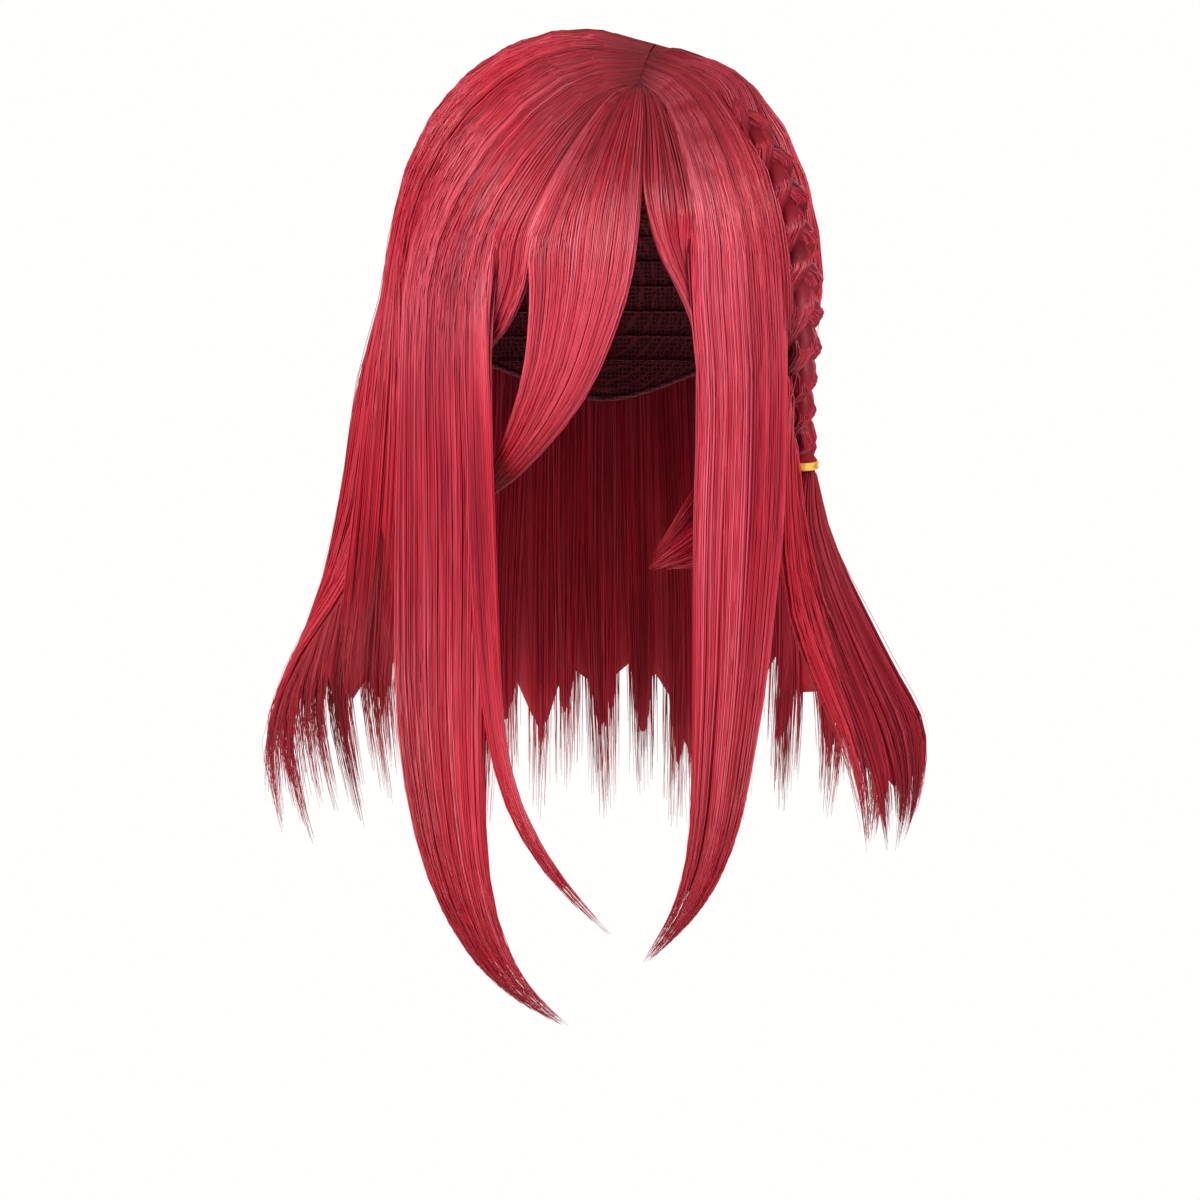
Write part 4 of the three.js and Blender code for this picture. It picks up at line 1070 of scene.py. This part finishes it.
place_camera()
pale_room()
soft_light("left_box", (-1.1, -1.45, 0.4), (0.9, 0.6), 32)
soft_light("right_box", (1.2, -1.4, 0.4), (0.9, 0.6), 27)
soft_light("back_box", (0.3, 1.7, 0.35), (1.2, 0.8), 8)
bpy.context.scene.view_settings.view_transform = "Standard"

# ---------------------------------------------------------------- the hair, piece by piece
LOOKS = {
    "hair": (hair_under, hair),
    "shaded_hair": (shaded_under, shaded_hair),
    "braid_hair": (braid_under, braid_hair),
}
# Frizz: fine stray fibres that stand off the lock, made pale as a painted highlight
FRIZZ = {"radius": 0.2, "pale": 1.0, "shallow": 0.02, "inner_share": 0.0, "proud": 0.6}


def hair_piece(node, slot, shells, tufts):
    """A node's dense body and loose strands. tufts: lock, number of strands, seed and options."""
    under, over = LOOKS[slot]
    join_shells(node + "_body", shells, under, [node])
    strands = Strands()
    for key, count, seed, options in tufts:
        add_lock(strands, key, count, seed, **options)
    strands.build(node + "_strands", over, [node], slot)


def thin_root(u, depth):
    """Where the thin inner lock parts from the hair above it."""
    way = direction(mix(-41, -34, u), np.full(len(u), 60.0))
    return on_head(way, hair_lift(way) - 2 - 3 * depth)


hair_piece(
    "fringe",
    "hair",
    [body_shell("sweep", 60, 44), body_shell("short_fringe", 26, 34), body_shell("right_fringe", 20, 34)],
    [
        ("sweep", 650, 11, {"steps": 16}),
        ("short_fringe", 220, 12, {"steps": 14}),
        ("right_fringe", 160, 13, {"steps": 14}),
    ],
)
hair_piece(
    "side_lock_left",
    "hair",
    [body_shell("side_left", 70, 60), body_shell("thin", 12, 44, gather=thin_root)],
    [
        ("side_left", 1050, 14, {"radius": 0.28, "steps": 18}),
        ("thin", 170, 15, {"steps": 16, "bunch": thin_root}),
    ],
)
hair_piece(
    "side_lock_right",
    "hair",
    [body_shell("side_right", 70, 60, hidden=True)],
    [
        ("side_right", 1050, 16, {"radius": 0.28, "steps": 18, "hidden": True}),
        ("side_right", 46, 26, {"steps": 18, "edges": (0.04, 0.5), **FRIZZ}),
    ],
)
hair_piece(
    "short_layer_left",
    "shaded_hair",
    [body_shell("short_layer", 40, 50, short=0.05)],
    [("short_layer", 480, 17, {"radius": 0.3, "steps": 16})],
)
for key, node, count, seed, edges in (
    ("back_left", "back_hair_left", 820, 38, (-0.01, 0.03)),
    ("back_middle", "back_hair_middle", 900, 39, (-0.008, -0.008)),
    ("back_right", "back_hair_right", 750, 40, (0.03, -0.01)),
):
    by_braid = key == "back_right"
    shells = [body_shell(key, 84, 50, edges=edges, hidden=by_braid, short=0.035)]
    options = {"steps": 17, "radius": 0.36, "ends": (0.9, 1.0), "inner_share": 0.36, "hidden": by_braid}
    tufts = [(key, count, seed, options)]
    if key == "back_left":
        tufts.append((key, 26, 27, {"steps": 17, "edges": (0.86, 1.0), **FRIZZ}))
    if by_braid:
        shells.append(body_shell("nape", 10, 24))
        tufts.append(("nape", 150, 41, {"radius": 0.34, "steps": 12, "edges": (-0.7, 1.0)}))
    hair_piece(node, "shaded_hair", shells, tufts)
hair_piece(
    "braid_feed",
    "hair",
    [body_shell("feed", 30, 40, hidden=True)],
    [("feed", 320, 22, {"steps": 16, "hidden": True, "ends": (0.97, 1.0)})],
)

# ---------------------------------------------------------------- the braid, its band and its tail
STRAND_REACH, STRAND_RISE, STRAND_THICKNESS = 0.5, 0.52, 0.72
PLAIT_RINGS, PLAIT_FIBRES, FIBRE_RINGS, PLAIT_CORNERS = 110, 140, 44, 24
BAND_TURNS, BAND_RADIUS, BAND_SLANT = 3, 0.75, 0.9


def plait_strand(number, along):
    """The middle line of one of the three strands, its directions and its half width and thickness."""
    place, _, out, side, wide, thick = braid_frame(along)
    phase = 2 * np.pi * (along * ROUTE_LENGTH / BRAID_TURN_LENGTH + number / 3)
    middle = place + side * (np.sin(phase) * wide * STRAND_REACH)[:, None]
    middle = middle + out * (np.sin(2 * phase) * thick * STRAND_RISE)[:, None]
    return middle, out, side, wide * STRAND_REACH * 0.94, thick * STRAND_THICKNESS


def braid_pieces():
    """The three plaited strands with their loose fibres, with painted shade in the creases, and the bound
    neck.
    """
    rng = np.random.default_rng(50)
    along = np.linspace(0, 1 - BAND_WIDTH / ROUTE_LENGTH, PLAIT_RINGS)
    place, _, _, _, _, thick_all = braid_frame(along)
    keep = np.linspace(0, PLAIT_RINGS - 1, FIBRE_RINGS).astype(int)
    body, fibres = Strands(), Strands()
    for number in range(3):
        middle, out, side, wide, thick = plait_strand(number, along)
        # Painted shade: the strands' dense bodies under their fibres are darker
        body.add_one(
            middle, wide * 0.9, along, 0.4, 0.55, number * 50.0, out,
            corners=PLAIT_CORNERS, flat=(thick / wide)[None],
        )
        angle = rng.random(PLAIT_FIBRES) * 2 * np.pi
        radius = rng.uniform(0.93, 1.05, PLAIT_FIBRES)
        twist = along[None] * ROUTE_LENGTH / BRAID_TURN_LENGTH * 0.5 + rng.random((PLAIT_FIBRES, 1))
        turn = angle[:, None] + 0.25 * np.sin(2 * np.pi * twist)
        path = (
            middle[None]
            + side[None] * (np.cos(turn) * radius[:, None] * wide[None])[..., None]
            + out[None] * (np.sin(turn) * radius[:, None] * thick[None])[..., None]
        )
        t = np.broadcast_to(along[keep], (PLAIT_FIBRES, FIBRE_RINGS))
        height = ((path - place[None]) * out[None]).sum(-1) / thick_all[None]
        # Painted shade: fibres darker where they dip into the creases between the strands
        shade = 0.9 * (1 - smoothstep(height[:, keep], -0.3, 0.65))
        size = np.full(t.shape, 0.3) * rng.uniform(0.8, 1.3, (PLAIT_FIBRES, 1))
        tone = rng.random(PLAIT_FIBRES)
        fibres.add(path[:, keep], size, t, tone, shade, rng.random(PLAIT_FIBRES) * 900)
    place, _, out, _, _, _ = braid_frame(np.linspace(1 - 3 * BAND_WIDTH / ROUTE_LENGTH, 1, 6))
    # Painted shade on the bound neck too
    body.add_one(
        place, NECK_RADIUS, np.linspace(0.95, 1, 6), 0.4, 0.5, 170.0, out,
        corners=PLAIT_CORNERS, flat=NECK_FLATNESS,
    )
    body.build("braid_body", braid_under, ["braid"], "braid_hair")
    fibres.build("braid_strands", braid_hair, ["braid"], "braid_hair")


braid_pieces()


def tail_root(u, depth):
    """Where the tail's hair comes out of the band: an oval as large as the bound neck."""
    place, _, out, side, _, _ = braid_frame(np.array([1 - 0.5 * BAND_WIDTH / ROUTE_LENGTH]))
    a = (u - 0.5) * 1.8
    b = (0.5 - depth) * 1.7 * np.sqrt(np.maximum(0.05, 1 - a**2))
    across, rise = -a * NECK_RADIUS * 0.95, b * NECK_RADIUS * NECK_FLATNESS * 0.95
    return place + side * across[:, None] + out * rise[:, None]


hair_piece(
    "braid_tail",
    "braid_hair",
    [body_shell("tail", 44, 40, keep=0.94, gather=tail_root, short=0.04)],
    [("tail", 440, 23, {"steps": 16, "shallow": 0.9, "inner_share": 0, "bunch": tail_root})],
)


def band_piece():
    """The elastic band wound three times round the neck."""
    angle = np.linspace(0, 2 * np.pi * BAND_TURNS, BAND_TURNS * 40)
    place, tangent, out, side, _, _ = braid_frame(np.array([1.0]))
    share = np.linspace(0, 1, len(angle))
    radius = NECK_RADIUS + 0.9 + 0.25 * np.sin(angle * 1.37)
    rise = mix(-BAND_WIDTH - 0.2, -0.3, share) + BAND_SLANT * np.sin(angle + 0.6)
    path = (
        place
        + side * (np.cos(angle) * radius)[:, None]
        + out * (np.sin(angle) * (radius - NECK_RADIUS * (1 - NECK_FLATNESS)))[:, None]
        + tangent * rise[:, None]
    )
    loops = Strands()
    loops.add_one(path, BAND_RADIUS, share, away=path - place, corners=10, flat=0.75)
    loops.build("braid_band_loops", elastic, ["braid_band"], "elastic")


band_piece()

NET_INSIDE, RIM_RADIUS, WEFT_RADIUS = 0.9, 1.3, 0.55
WEFT_ROWS, FIRST_WEFT, WEFT_STEP = 12, 40, 6.2


def cap_piece():
    """The net cap: a smooth thin dome, with a hemmed rim and the rows of wefts that the hair is sewn to."""
    turns, rows = 100, 28
    around = np.arange(turns) * 360 / turns - 180
    rim = read_table(CAP_RIM, np.abs(around))[:, 0]
    shells = []
    share = np.linspace(0, 1, rows + 1)[1:]
    for lift in (CAP_WALL, NET_INSIDE):
        way = direction(np.broadcast_to(around[:, None], (turns, rows)), rim[:, None] * share[None])
        shells.append(on_head(way, np.full((turns, rows), lift)).reshape(-1, 3))
    peaks = [on_head(np.array([0.0, 0, 1]), np.array(lift)) for lift in (CAP_WALL, NET_INSIDE)]
    points = np.concatenate([*shells, np.array(peaks)])
    size = turns * rows
    i, r = np.meshgrid(np.arange(turns), np.arange(rows - 1), indexing="ij")
    a, b = (i * rows + r).ravel(), (((i + 1) % turns) * rows + r).ravel()
    outside = np.stack([a, a + 1, b + 1, b], -1)
    inside = np.stack([a, b, b + 1, a + 1], -1) + size
    j = np.arange(turns)
    e, f = j * rows + rows - 1, ((j + 1) % turns) * rows + rows - 1
    hem = np.stack([e, e + size, f + size, f], -1)
    g, h = j * rows, ((j + 1) % turns) * rows
    tops = np.concatenate(
        [np.stack([0 * g + 2 * size, g, h], -1), np.stack([0 * g + 2 * size + 1, h + size, g + size], -1)]
    )
    quads = np.concatenate([outside, inside, hem])
    uv = np.stack([points[:, 0] / 400 + 0.5, points[:, 1] / 400 + 0.5], -1)
    uv = np.concatenate([uv[quads.ravel()], uv[tops.ravel()]])
    finish_piece("cap_net", points, [quads, tops], {}, uv, net, ["cap"])
    trim = Strands()
    closed, edge = np.append(around, around[0] + 360), np.append(rim, rim[0])
    path = on_head(direction(closed, edge - 0.6), np.full(len(closed), RIM_RADIUS))
    trim.add_one(path, RIM_RADIUS, np.linspace(0, 1, len(closed)), corners=8)
    weft = np.linspace(70, 290, 60)
    limit = read_table(CAP_RIM, np.abs((weft + 180) % 360 - 180))[:, 0]
    for row in range(WEFT_ROWS):
        tilt = FIRST_WEFT + WEFT_STEP * row
        inside_rim = weft[limit > tilt + 2]
        if len(inside_rim) < 6:
            continue
        way = direction(inside_rim, np.full(len(inside_rim), tilt))
        path = on_head(way, np.full(len(inside_rim), NET_INSIDE))
        t = np.linspace(0, 1, len(inside_rim))
        trim.add_one(path, WEFT_RADIUS, t, across=row * 9.0, corners=6, flat=2.2)
    trim.build("cap_trim", net, ["cap"], "net")


cap_piece()


FLYAWAYS = {
    "side_left": 18, "side_right": 18, "sweep": 10, "back_left": 14, "back_right": 14, "back_middle": 14,
    "tail": 10,
}


def flyaways():
    """A few loose hairs that stand off the outline."""
    strands = Strands()
    for i, (key, count) in enumerate(FLYAWAYS.items()):
        rng = np.random.default_rng(80 + i)
        paths, t, _, _ = strand_paths(
            key, count, rng, inner_share=0, proud=1.2, ends=(0.6, 0.98), sway=0.03
        )
        size, tone = strand_radius(t, rng, 0.16), rng.random(count)
        strands.add(paths, size, t, tone, 0 * t, rng.random(count) * 900)
    strands.build("flyaways", hair, (), "hair")


flyaways()
